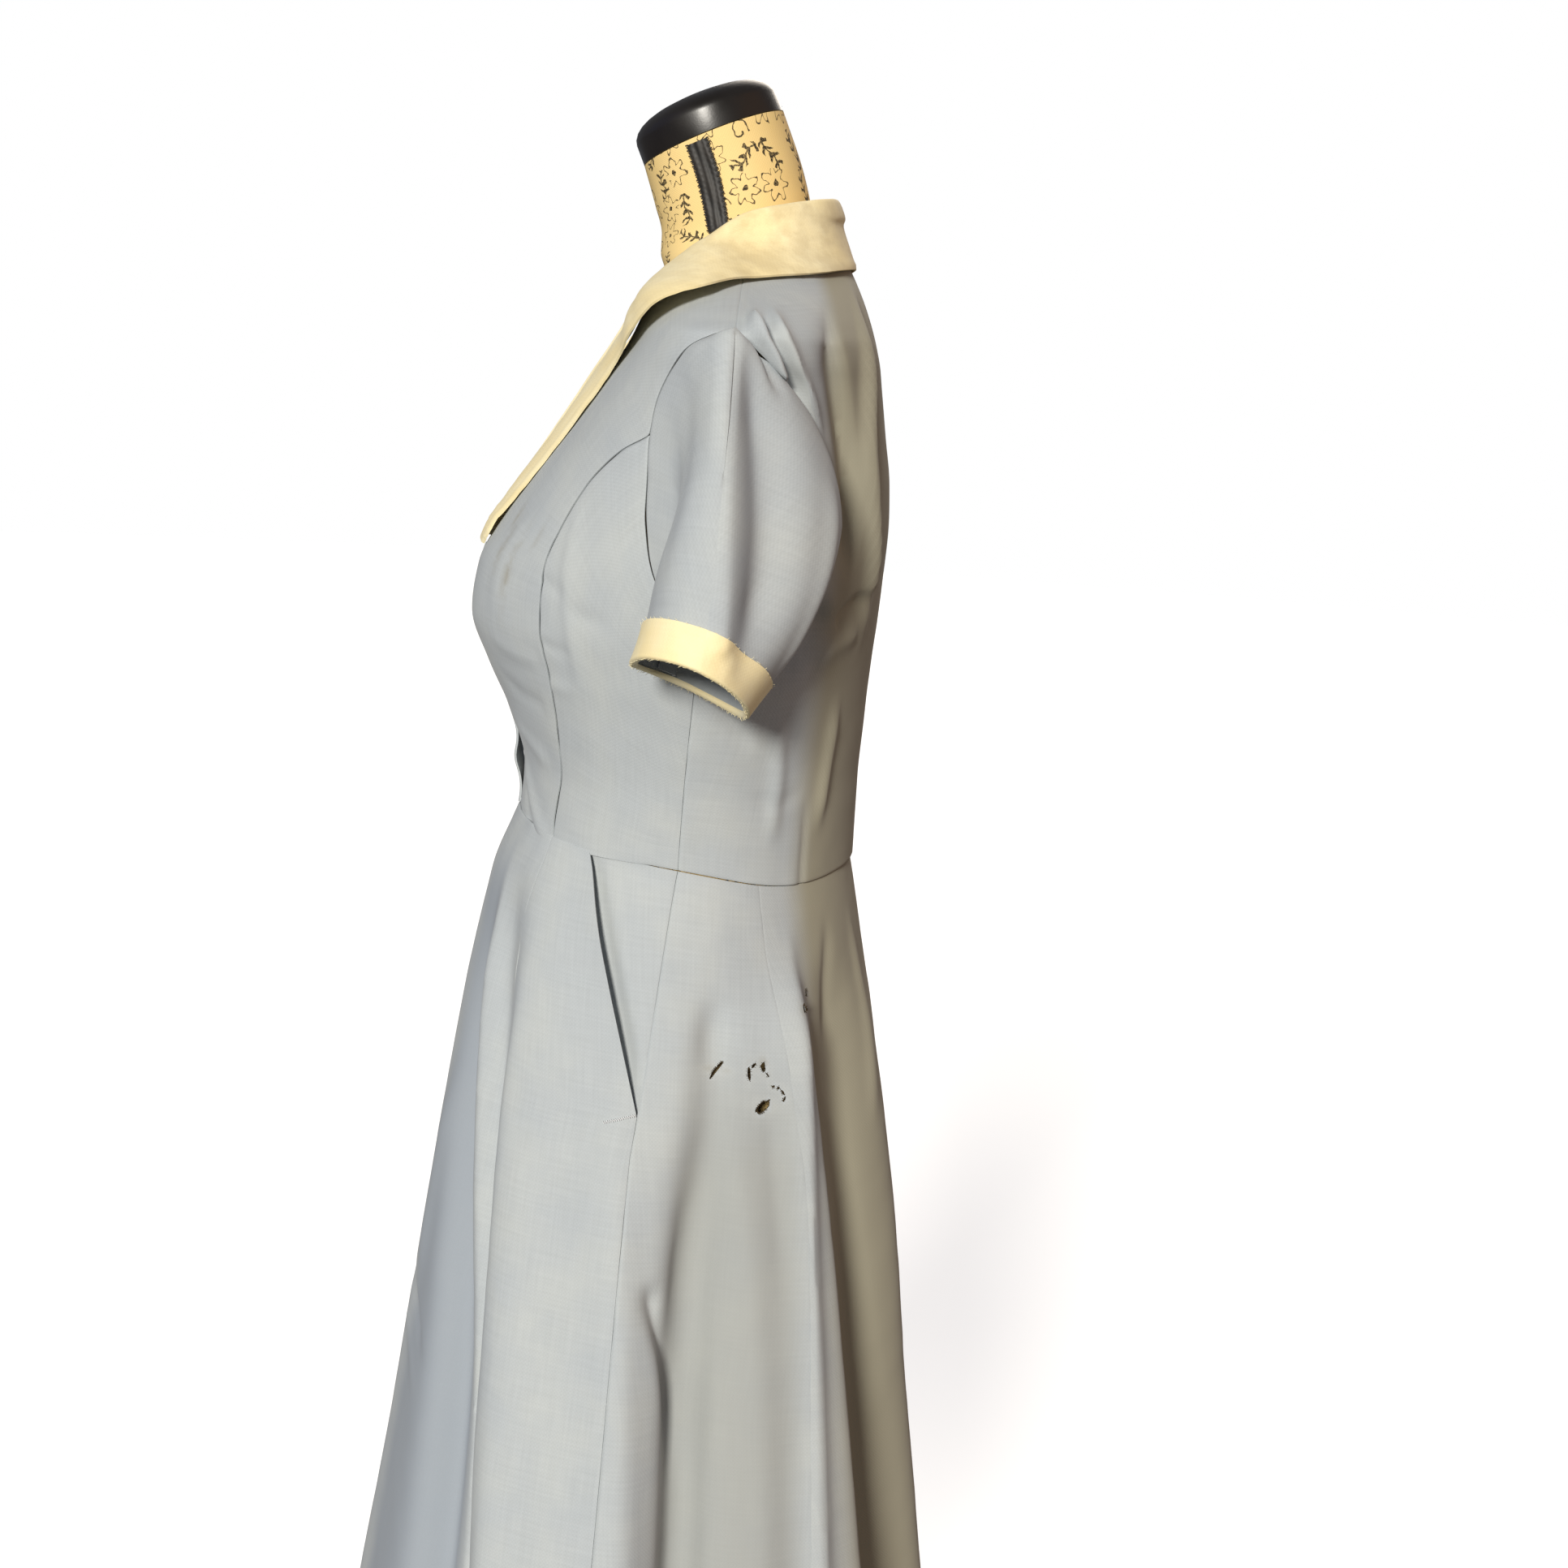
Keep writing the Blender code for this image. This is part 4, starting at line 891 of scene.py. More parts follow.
def applied(made: Object) -> bpy.types.Mesh:
    """An object's mesh with its modifiers carried out."""
    return bpy.data.meshes.new_from_object(made.evaluated_get(bpy.context.evaluated_depsgraph_get()))


class Repeat:
    """A Geometry Nodes tree that lays short pieces of thread along a path, one after another.

    It makes stitches, the zigzag of an overlocked edge, frayed ends and the small loops of a braid. The
    path is an edge mesh whose points carry the cloth's normal as the attribute lie.
    """

    INPUTS = (("Pitch", 0.002), ("Length", 0.0015), ("Radius", 0.0002), ("Slant", 0.0), ("Wander", 0.0),
              ("Scatter", 0.0))

    def __init__(self) -> None:
        """Builds the tree once."""
        tree = bpy.data.node_groups.new("thread_repeat", "GeometryNodeTree")
        self.tree = tree
        face = tree.interface
        face.new_socket("Path", in_out="INPUT", socket_type="NodeSocketGeometry")
        for name, value in self.INPUTS:
            face.new_socket(name, in_out="INPUT", socket_type="NodeSocketFloat").default_value = value
        face.new_socket("Seed", in_out="INPUT", socket_type="NodeSocketInt")
        face.new_socket("Thread", in_out="INPUT", socket_type="NodeSocketMaterial")
        face.new_socket("Pieces", in_out="OUTPUT", socket_type="NodeSocketGeometry")
        given = add_node(tree, "NodeGroupInput").outputs

        def made(kind: str, values: dict | None = None, **settings: str) -> Socket:
            """A new node's first output."""
            return add_node(tree, kind, values, **settings).outputs[0]

        even = made("GeometryNodeResampleCurve", {
            "Curve": made("GeometryNodeMeshToCurve", {0: given["Path"]}), "Length": given["Pitch"],
        }, mode="LENGTH")
        # each piece lies along the path, flat on the cloth
        lie = made("GeometryNodeInputNamedAttribute", {"Name": "lie"}, data_type="FLOAT_VECTOR")
        align = "FunctionNodeAlignRotationToVector"
        along = made(align, {"Vector": made("GeometryNodeInputTangent")}, axis="Z")
        flat = made(align, {"Rotation": along, "Vector": lie}, axis="Y", pivot_axis="Z")
        # it slants to one side and the next to the other, each a little astray
        order = made("GeometryNodeInputIndex")
        sign = calc(tree, "MULTIPLY_ADD", calc(tree, "MODULO", order, 2.0), 2.0, -1.0)
        stray = add_node(tree, "FunctionNodeRandomValue", {
            2: calc(tree, "MULTIPLY", given["Wander"], -1.0), 3: given["Wander"], "Seed": given["Seed"],
            "ID": order,
        }).outputs[1]
        lean = calc(tree, "ADD", calc(tree, "MULTIPLY", sign, given["Slant"]), stray)
        turn = made("FunctionNodeEulerToRotation", {0: made("ShaderNodeCombineXYZ", {0: stray, 1: lean})})
        facing = made("FunctionNodeRotateRotation", {0: flat, 1: turn}, rotation_space="LOCAL")
        back = calc(tree, "MULTIPLY", given["Scatter"], -1.0)
        low, high = (made("ShaderNodeCombineXYZ", dict.fromkeys(range(3), reach))
                     for reach in (back, given["Scatter"]))
        aside = made("FunctionNodeRandomValue", {0: low, 1: high, "Seed": given["Seed"]},
                     data_type="FLOAT_VECTOR")
        moved = made("GeometryNodeSetPosition", {0: even, "Offset": aside})
        thread = made("GeometryNodeMeshCylinder", {"Vertices": 6, "Radius": given["Radius"],
                                                   "Depth": given["Length"]})
        laid = made("GeometryNodeInstanceOnPoints", {0: moved, "Instance": thread, "Rotation": facing})
        soft = made("GeometryNodeSetShadeSmooth", {0: made("GeometryNodeRealizeInstances", {0: laid})})
        dyed = made("GeometryNodeSetMaterial", {0: soft, "Material": given["Thread"]})
        add_node(tree, "NodeGroupOutput", {0: dyed})

    def lay(self, name: str, path: Grid, lie: Grid, thread: Material, seed: int = 1, closed: bool = False,
            **sizes: float) -> dict:
        """Lays threads along a path.

        Args:
            name: The piece's name.
            path: Points of the path.
            lie: The cloth's normal at each point.
            thread: The material.
            seed: Picks the unevenness.
            closed: True if the path is a loop.
            sizes: Values for the tree's inputs, by name.

        Returns:
            The threads as one plain mesh, by name.
        """
        count = len(path)
        mesh = bpy.data.meshes.new(name + "_path")
        edges = [(k, k + 1) for k in range(count - 1)] + ([(count - 1, 0)] if closed else [])
        mesh.from_pydata(path.tolist(), edges, [])
        mesh.attributes.new("lie", "FLOAT_VECTOR", "POINT").data.foreach_set("vector", np.ravel(lie))
        made = placed(name, mesh)
        modifier = made.modifiers.new("repeat", "NODES")
        modifier.node_group = self.tree
        values = {"Seed": seed, "Thread": thread, **sizes}
        for item in self.tree.interface.items_tree:
            if item.in_out == "INPUT" and item.name in values:
                modifier[item.identifier] = values[item.name]
        plain = applied(made)
        made.modifiers.clear()
        made.data = plain
        bpy.data.meshes.remove(mesh)
        plain.name = name
        return {name: made}


@dataclass
class Cloth:
    """How a sewn panel's surface is worked: seams sink in and pucker, and the whole is slightly uneven."""

    seam_depth: float = 0.00040
    seam_width: float = 0.0006
    allowance: float = 0.012
    allowance_rise: float = 0.00008
    pucker: float = 0.00026
    pucker_length: float = 0.011
    pucker_reach: float = 0.007
    sway: float = 0.0007
    sway_length: float = 0.055
    crumple: float = 0.00018
    crumple_length: float = 0.016

    def relief(self, outer: Grid, seams: tuple, turn: Grid, height: Grid, degree: Grid, seed: int) -> Grid:
        """How far seams, puckers and unevenness move each point out.

        Args:
            outer: The panel's plain surface.
            seams: How deep the bottom, right, top and left seams sink, as shares of the usual; 0 for an
                edge that isn't sewn.
            turn: Each point's turn.
            height: Each point's height.
            degree: The metres one degree of turn spans at each point.
            seed: Picks the unevenness.

        Returns:
            Metres along the normal.
        """
        along_row, along_column = lengths(outer, 1), lengths(outer, 0)
        edges = (
            (along_column, along_row), (along_row[:, -1:] - along_row, along_column),
            (along_column[-1:] - along_column, along_row), (along_row, along_column),
        )
        out = np.zeros(turn.shape)
        for number, (deep, (away, along)) in enumerate(zip(seams, edges)):
            if not deep:
                continue
            out -= self.seam_depth * deep * np.exp(-((away / self.seam_width) ** 2) / max(deep, 1))
            out += self.allowance_rise * smooth((self.allowance - away) / 0.0015)
            wave = lumps(along / self.pucker_length, 0 * along + number * 7.3, seed + number)
            out += self.pucker * wave * np.exp(-away / self.pucker_reach)
        x, y = turn * degree, height
        out += self.sway * lumps(x / self.sway_length + 9, y / self.sway_length / 1.6 + 5, 11)
        out += self.crumple * lumps(x / self.crumple_length + 3, y / self.crumple_length + 1, 12)
        return out


def stains(spots: Sequence, turn: Grid, height: Grid, degree: Grid) -> Grid:
    """How soiled each point is, from 0 to 1."""
    out = np.zeros(turn.shape)
    for spot in spots:
        dx = (turn - spot.turn) * degree / spot.across
        dy = (height - spot.height) / spot.along
        out = np.maximum(out, spot.strength * np.exp(-(dx * dx + dy * dy)))
    return out


def back_shade_share(turn: Grid) -> Grid:
    """How much warm olive shade is painted on the back of the dress, by turn."""
    return smooth((turn - 125) / 14) * smooth((250 - turn) / 60)


def reversed_path(crease: Crease) -> Crease:
    """The same crease on the other side of the centre back."""
    return crease._replace(path=tuple((360 - turn, height) for turn, height in crease.path), near=crease.far,
                           far=crease.near)


def mirrored(points: Grid, side: int) -> Grid:
    """Points on the wearer's left, or the same points on the right with their columns turned round."""
    if side > 0:
        return points
    flipped = points[:, ::-1].copy()
    flipped[..., 0] *= -1
    return flipped


def hidden(creases: Sequence, shift: float, share: float) -> tuple:
    """Like creases for a side that the photograph doesn't show: a little off in place and in height."""
    return tuple(
        crease._replace(
            path=tuple((turn + shift * (1 if k % 2 else -1), height + 0.004) for turn, height in crease.path),
            height=crease.height * share,
        )
        for k, crease in enumerate(creases)
    )


@dataclass
class Bodice:
    """Two centre fronts, two side fronts, the back and the front band."""

    step: float = 0.0026
    princess_waist: float = 44.0
    underarm: float = 0.150
    band_half_width: float = 0.014
    band_top: float = 0.178
    band_lift: float = 0.0013
    band_gape: float = 0.0048
    band_gape_at: float = 0.043
    dart_turn: float = 133.5
    dart_top: float = 0.048
    dart_depth: float = 0.0013
    dart_width: float = 0.0034
    shoulder: tuple = ((90.0, 0.360), (90.0, 0.316))
    armhole_top: tuple = ((90, 0.316), (79, 0.312), (68, 0.3025), (64, 0.281), (66, 0.256))
    armhole_low: tuple = ((66, 0.256), (70, 0.232), (73.5, 0.205), (78, 0.178), (83.5, 0.158), (90, 0.150))
    armhole_back: tuple = (
        (90, 0.150), (103, 0.155), (115, 0.172), (123, 0.198), (127, 0.228),
        (125, 0.252), (119, 0.272), (110, 0.289), (100, 0.304), (90, 0.316),
    )
    princess: tuple = (
        (44, 0.0), (43.5, 0.02), (47, 0.06), (51, 0.108), (50.3, 0.157),
        (49.5, 0.190), (51.5, 0.225), (57, 0.244), (66, 0.256),
    )
    v_neck: tuple = (
        (1, 0.186), (3, 0.200), (6.2, 0.225), (9.1, 0.255), (12, 0.285),
        (15, 0.315), (22, 0.333), (34, 0.345), (52, 0.354), (90, 0.360),
    )
    back_neck: tuple = ((90, 0.360), (120, 0.3655), (150, 0.3715), (180, 0.374))
    creases: tuple = (
        # the pinched roll behind the shoulder and the second one below it
        Crease(((93, 0.324), (102, 0.309), (107, 0.296), (110, 0.286)), 0.01, 0.006, 0.005, 0.2, 0.18),
        Crease(((102, 0.33), (113, 0.3), (122, 0.272), (127, 0.24)), 0.006, 0.006, 0.007, 0.15, 0.5, 1.7),
        Crease(((99, 0.322), (108, 0.304), (114, 0.288), (118, 0.274)), -0.0062, 0.0045, 0.005, 0.2, 0.3),
        # long soft fold down the back, and the shaded hollows on both its sides
        Crease(((156, 0.356), (150, 0.3), (147, 0.252), (149, 0.215), (152, 0.18), (153, 0.12)), 0.008,
               0.011, 0.0065, 0.3, 0.3),
        Crease(((165, 0.35), (158, 0.3), (155, 0.252), (157, 0.21)), -0.004, 0.012, 0.008, 0.3, 0.4),
        Crease(((128, 0.338), (134, 0.3), (139.5, 0.252), (141, 0.215), (141, 0.172)), -0.0098, 0.006,
               0.02, 0.25, 0.2, 1.7),
        Crease(((134, 0.166), (126, 0.142), (116, 0.122), (106, 0.108)), -0.008, 0.01, 0.012, 0.15, 0.5),
        Crease(((137, 0.15), (146, 0.161), (158, 0.166)), -0.005, 0.005, 0.008, 0.15, 0.4),
        Crease(((128, 0.128), (138, 0.138), (152, 0.146)), 0.0034, 0.006, 0.008),
        # drape under the arm towards the waist
        Crease(((118, 0.1), (121, 0.06), (120, 0.01)), 0.0024, 0.008, 0.008),
        Crease(((144, 0.11), (142, 0.06), (139, 0.015)), 0.0032, 0.007, 0.007),
        Crease(((110, 0.05), (122, 0.04), (134, 0.052)), -0.0008, 0.006, 0.006),
        Crease(((96, 0.12), (104, 0.09), (112, 0.075)), -0.001, 0.007, 0.007),
        # side front
        Crease(((52, 0.222), (56, 0.18), (60, 0.13), (60, 0.09)), 0.0013, 0.006, 0.004),
        Crease(((57, 0.16), (62, 0.15), (70, 0.148)), -0.0009, 0.005, 0.005),
        Crease(((50, 0.17), (55, 0.163), (60, 0.16)), -0.0009, 0.004, 0.004, 0.05, 0.6),
        Crease(((51, 0.132), (56, 0.128), (62, 0.129)), -0.001, 0.0035, 0.004, 0.05, 0.6),
        Crease(((51, 0.106), (56, 0.104), (61, 0.107)), 0.0009, 0.0035, 0.004, 0.05, 0.6),
        # centre front above the waist, where the band pulls
        Crease(((14, 0.05), (24, 0.03), (34, 0.012), (42, 0.004)), 0.0022, 0.006, 0.005, 0.3, 0.2),
        Crease(((16, 0.03), (24, 0.014), (32, 0.006)), -0.0018, 0.0045, 0.0045),
        Crease(((20, 0.075), (32, 0.06), (42, 0.05)), 0.0016, 0.006, 0.006),
        Crease(((26, 0.11), (34, 0.096), (46, 0.09)), -0.0012, 0.005, 0.005, 0.4, 0.1),
        Crease(((30, 0.132), (38, 0.122), (49, 0.118)), 0.0011, 0.005, 0.005, 0.4, 0.1),
        Crease(((36, 0.215), (34, 0.17), (38, 0.13)), 0.001, 0.009, 0.007),
    )
    spots: tuple = (
        Spot(38, 0.168, 0.0032, 0.022, 0.45),
        Spot(32, 0.182, 0.004, 0.014, 0.4),
        Spot(29, 0.2, 0.003, 0.01, 0.35),
        Spot(44, 0.19, 0.0025, 0.012, 0.2),
    )

    def panel(self, name: str, grid: Grid, side: int, seams: tuple, finish: Material,
              seed: int) -> Object:
        """A bodice panel from a grid of (turn, rise) on the wearer's left."""
        turn, rise = grid[..., 0], grid[..., 1]
        plain = bodice_surface(turn, rise)
        normal = surface_normal(bodice_surface, turn, rise, 1)
        degree = np.full(turn.shape, DEGREE)
        far = hidden(self.creases, 1.5, 0.7)
        creases = self.creases if side > 0 else far
        if name == "bodice_back":
            creases += tuple(reversed_path(crease) for crease in far)
        out = crease_field(creases, turn, rise, degree)
        out += Cloth().relief(plain, seams, turn, rise, degree, seed)
        if name == "bodice_back":
            out += self.darts(turn, rise)
        soiled = stains(self.spots if side > 0 else (), turn, rise, degree)
        outer = mirrored(plain + normal * out[..., None], side)
        # painted warm olive shade on the back
        return wall(name, outer, mirrored(normal, side), CLOTH, finish, soiled, aged=back_shade_share(turn))

    def darts(self, turn: Grid, rise: Grid) -> Grid:
        """The waist dart on each side of the back, sunk like a seam and fading out at its tip."""
        away = np.minimum(np.abs(turn - self.dart_turn), np.abs(turn - 360 + self.dart_turn)) * DEGREE
        full = smooth((self.dart_top - rise) / 0.030)
        return -self.dart_depth * np.exp(-((away / self.dart_width) ** 2)) * full

    def side_line(self, steps: int) -> Grid:
        """The side seam, from the waist to the underarm."""
        return np.stack([np.full(steps + 1, 90.0), np.linspace(0, self.underarm, steps + 1)], -1)

    def waist_line(self, first: float, last: float) -> Grid:
        """The waist seam between two turns."""
        turn = np.linspace(first, last, 61)
        return np.stack([turn, waist_rise(turn)], -1)

    def build(self, finishes: Finishes) -> dict:
        """Makes the panels and the band, by name."""
        made = {}
        princess = through(self.princess, 120)
        princess[0] = (self.princess_waist, waist_rise(self.princess_waist))
        top = through(self.armhole_top, 60)[::-1]
        shoulder = np.linspace(*self.shoulder, 61)
        centre = np.stack([np.zeros(72), np.linspace(waist_rise(0.0), self.v_neck[0][1], 73)[:-1]], -1)
        front_edge = np.concatenate([centre, through(self.v_neck, 108)])
        front = fill(self.waist_line(0.0, self.princess_waist), np.concatenate([princess, top[1:]]), shoulder,
                     front_edge, spaced(0.095, self.step), spaced(0.36, self.step))
        side_front = fill(self.waist_line(self.princess_waist, 90.0), self.side_line(60),
                          through(self.armhole_low, 60), princess, spaced(0.11, self.step),
                          spaced(0.24, self.step))
        for word, side in SIDES:
            name = f"bodice_front_{word}"
            made[name] = self.panel(name, front, side, (1, 0.2, 1, 0), finishes.blue, 20)
            name = f"bodice_side_front_{word}"
            made[name] = self.panel(name, side_front, side, (1, 0.2, 1, 3.2), finishes.blue, 30)
        left = np.concatenate([self.side_line(100), through(self.armhole_back, 120)[1:]])
        half_top = np.concatenate([shoulder[::-1], through(self.back_neck, 60)[1:]])
        across_top = np.concatenate([half_top, (half_top * (-1, 1) + (360, 0))[-2::-1]])
        right = left * (-1, 1) + (360, 0)
        waist = np.linspace(90.0, 270.0, 241)
        back = fill(np.stack([waist, waist_rise(waist)], -1), right, across_top, left,
                    spaced(0.40, self.step), spaced(0.37, self.step))
        made["bodice_back"] = self.panel("bodice_back", back, 1, (1, 2.4, 1, 2.4), finishes.blue, 40)
        made["front_placket"] = self.band(finishes.blue)
        return made

    def band(self, finish: Material) -> Object:
        """The overlapped band down the centre front, which gapes a little just above the waist."""
        rises = np.linspace(waist_rise(0.0) + 0.0012, self.band_top, 90)
        across = (spaced(2 * self.band_half_width, 0.0016) * 2 - 1) * self.band_half_width
        table = np.array(BODICE, float)
        half_width = cubic(table[:, 0], table[:, 1], rises)
        turn = np.degrees(np.arcsin(across[None] / half_width[:, None]))
        rise = np.broadcast_to(rises[:, None], turn.shape)
        normal = surface_normal(bodice_surface, turn, rise, 1)
        gape = self.band_gape * np.exp(-(((rise - self.band_gape_at) / 0.012) ** 2))
        gape = gape * (0.85 + 0.15 * smooth((across[None] / self.band_half_width + 1) / 2))
        sway = 0.0005 * lumps(rise / 0.018, turn * 0.02, 5)
        edge = self.band_half_width - np.abs(across[None])
        rolled = -0.0006 * np.exp(-((edge / 0.0008) ** 2))
        out = CLOTH + self.band_lift + gape + sway + rolled
        outer = bodice_surface(turn, rise) + normal * out[..., None]
        return wall("front_placket", outer, normal, CLOTH, finish, np.zeros(turn.shape))

    def dress(self, made: dict) -> None:
        """Puts each piece on its body in place of its solid."""
        for name, piece in made.items():
            settle(piece, Slot.DRESS, name)


@dataclass
class Collar:
    """The shawl collar: a stand, a fold and a fall that runs down into two lapels."""

    cloth: float = 0.0013
    fold_radius: float = 0.0038
    least_lift: float = 0.0036
    gap: float = 0.0010
    bow: float = 0.0022
    solid_cloth: float = 0.0018
    step: float = 0.085
    rows: int = 46
    round_share: float = 0.42
    fall_shares: tuple = (0.2, 0.45, 0.72, 1.0)
    table: tuple = (
        Station(180, 0.374, 180, 0.4, 0, 180, 0.359, 0.0022),
        Station(150, 0.3715, 146, 0.3985, 0.003, 151, 0.356, 0.0024),
        Station(120, 0.3655, 117, 0.3935, 0.005, 122, 0.349, 0.0028),
        Station(90, 0.36, 86, 0.38, 0.0075, 93, 0.343, 0.0034),
        Station(52, 0.354, 58, 0.362, 0.0045, 74, 0.331, 0.0095),
        Station(34, 0.345, 35, 0.345, 0.0056, 55, 0.3205, 0.0128),
        Station(22, 0.3335, 22, 0.3335, 0.008, 40, 0.308, 0.008),
        Station(14.6, 0.3125, 14.6, 0.3125, 0.0084, 33, 0.295, 0.003),
        Station(11.4, 0.28, 11.4, 0.28, 0.0078, 28.6, 0.275, 0.0012),
        Station(8.4, 0.248, 8.4, 0.248, 0.0062, 24.2, 0.248, 0.001),
        Station(5.2, 0.216, 5.2, 0.216, 0.0052, 19.8, 0.213, 0.0012),
        Station(3, 0.1985, 3, 0.1985, 0.006, 18, 0.195, 0.0028),
        Station(2.2, 0.1895, 2.2, 0.1895, 0.0046, 18.5, 0.1868, 0.0022),
        Station(1.8, 0.183, 1.8, 0.183, 0.0034, 17, 0.18, 0.0012),
    )

    def over(self, turn: float, rise: float, lift: float) -> Grid:
        """A point lifted off the bodice's outer face."""
        turn, rise = np.float64(turn), np.float64(rise)
        return bodice_surface(turn, rise) + surface_normal(bodice_surface, turn, rise, 1) * lift

    def cut(self, station: Station) -> Grid:
        """One cut across the collar, from its seam up the stand, over the fold and down to its edge."""
        seam = self.over(station.seam_turn, station.seam_rise, 0.0)
        fold = self.over(station.fold_turn, station.fold_rise, station.fold_lift)
        height = np.linalg.norm(fold - seam)
        up = (fold - seam) / height
        radius = np.clip(self.round_share * height, self.solid_cloth + 0.0010, self.fold_radius)
        outward = surface_normal(bodice_surface, np.float64(station.fold_turn),
                                 np.float64(station.fold_rise), 1)
        lift = max(station.fold_lift + radius * (2 - 3 * float(up @ outward)), self.least_lift)
        fall = []
        for share in self.fall_shares:
            turn = station.fold_turn + (station.edge_turn - station.fold_turn) * share
            rise = station.fold_rise + (station.edge_rise - station.fold_rise) * share
            off = station.edge_lift + (lift - station.edge_lift) * (1 - share) ** 2
            off = off + self.bow * math.sin(math.pi * share)
            fall.append(self.over(turn, rise, off + self.solid_cloth))
        aside = fall[1] - fold
        away = unit(aside - up * (aside @ up))
        foot = seam + up * self.gap
        bend = fold - up * radius
        points = [foot, (foot + bend) / 2]
        for angle in (0, 45, 90, 135):
            a = math.radians(angle)
            points.append(bend + away * radius * (1 - math.cos(a)) + up * radius * math.sin(a))
        return np.array(points + fall)

    def build(self, finishes: Finishes) -> Object:
        """Makes the collar as one wall from one lapel's tip round the neck to the other."""
        cuts = np.stack([self.cut(station) for station in self.table])
        at = np.append(np.arange(0.0, len(self.table) - 1, self.step), len(self.table) - 1)
        half = stations(cuts, at, cuts[1] * (-1, 1, 1))
        across = np.linspace(0, half.shape[1] - 1, self.rows)
        turned = half.transpose(1, 0, 2)
        half = stations(turned, across, 2 * turned[0] - turned[1]).transpose(1, 0, 2)
        grid = np.concatenate([half[:0:-1], half * (-1, 1, 1)]).transpose(1, 0, 2)
        normal = -grid_normal(grid, False)
        s = np.linspace(-1, 1, grid.shape[1])[None] * 26
        t = np.linspace(0, 1, grid.shape[0])[:, None]
        fall = smooth((t - 0.35) / 0.3)
        out = 0.0004 * lumps(s * 0.9 + 4, t * 2.2 + 0 * s, 21) * fall
        out = out + 0.0002 * lumps(s * 2.6 + 1, t * 5 + 0 * s, 22) * fall
        edge = lengths(grid[::-1], 0)[::-1]
        out = out + 0.0004 * smooth((0.006 - edge) / 0.002) - 0.0007 * np.exp(-((edge / 0.0010) ** 2))
        grid = grid + normal * out[..., None]
        left = smooth(s / 3)
        soil = np.clip(0.60 * np.exp(-(((s - 5.5) / 5.0) ** 2)) * fall * left, 0, 1)
        soil = np.maximum(soil, 0.45 * np.exp(-(((s + 5.0) / 5.0) ** 2)) * fall)
        soil = np.maximum(soil, 0.06 * fall + 0 * s)
        return wall("collar", grid, normal, self.cloth, finishes.cream, soil)

    def dress(self, piece: Object) -> None:
        settle(piece, Slot.TRIM, "collar")


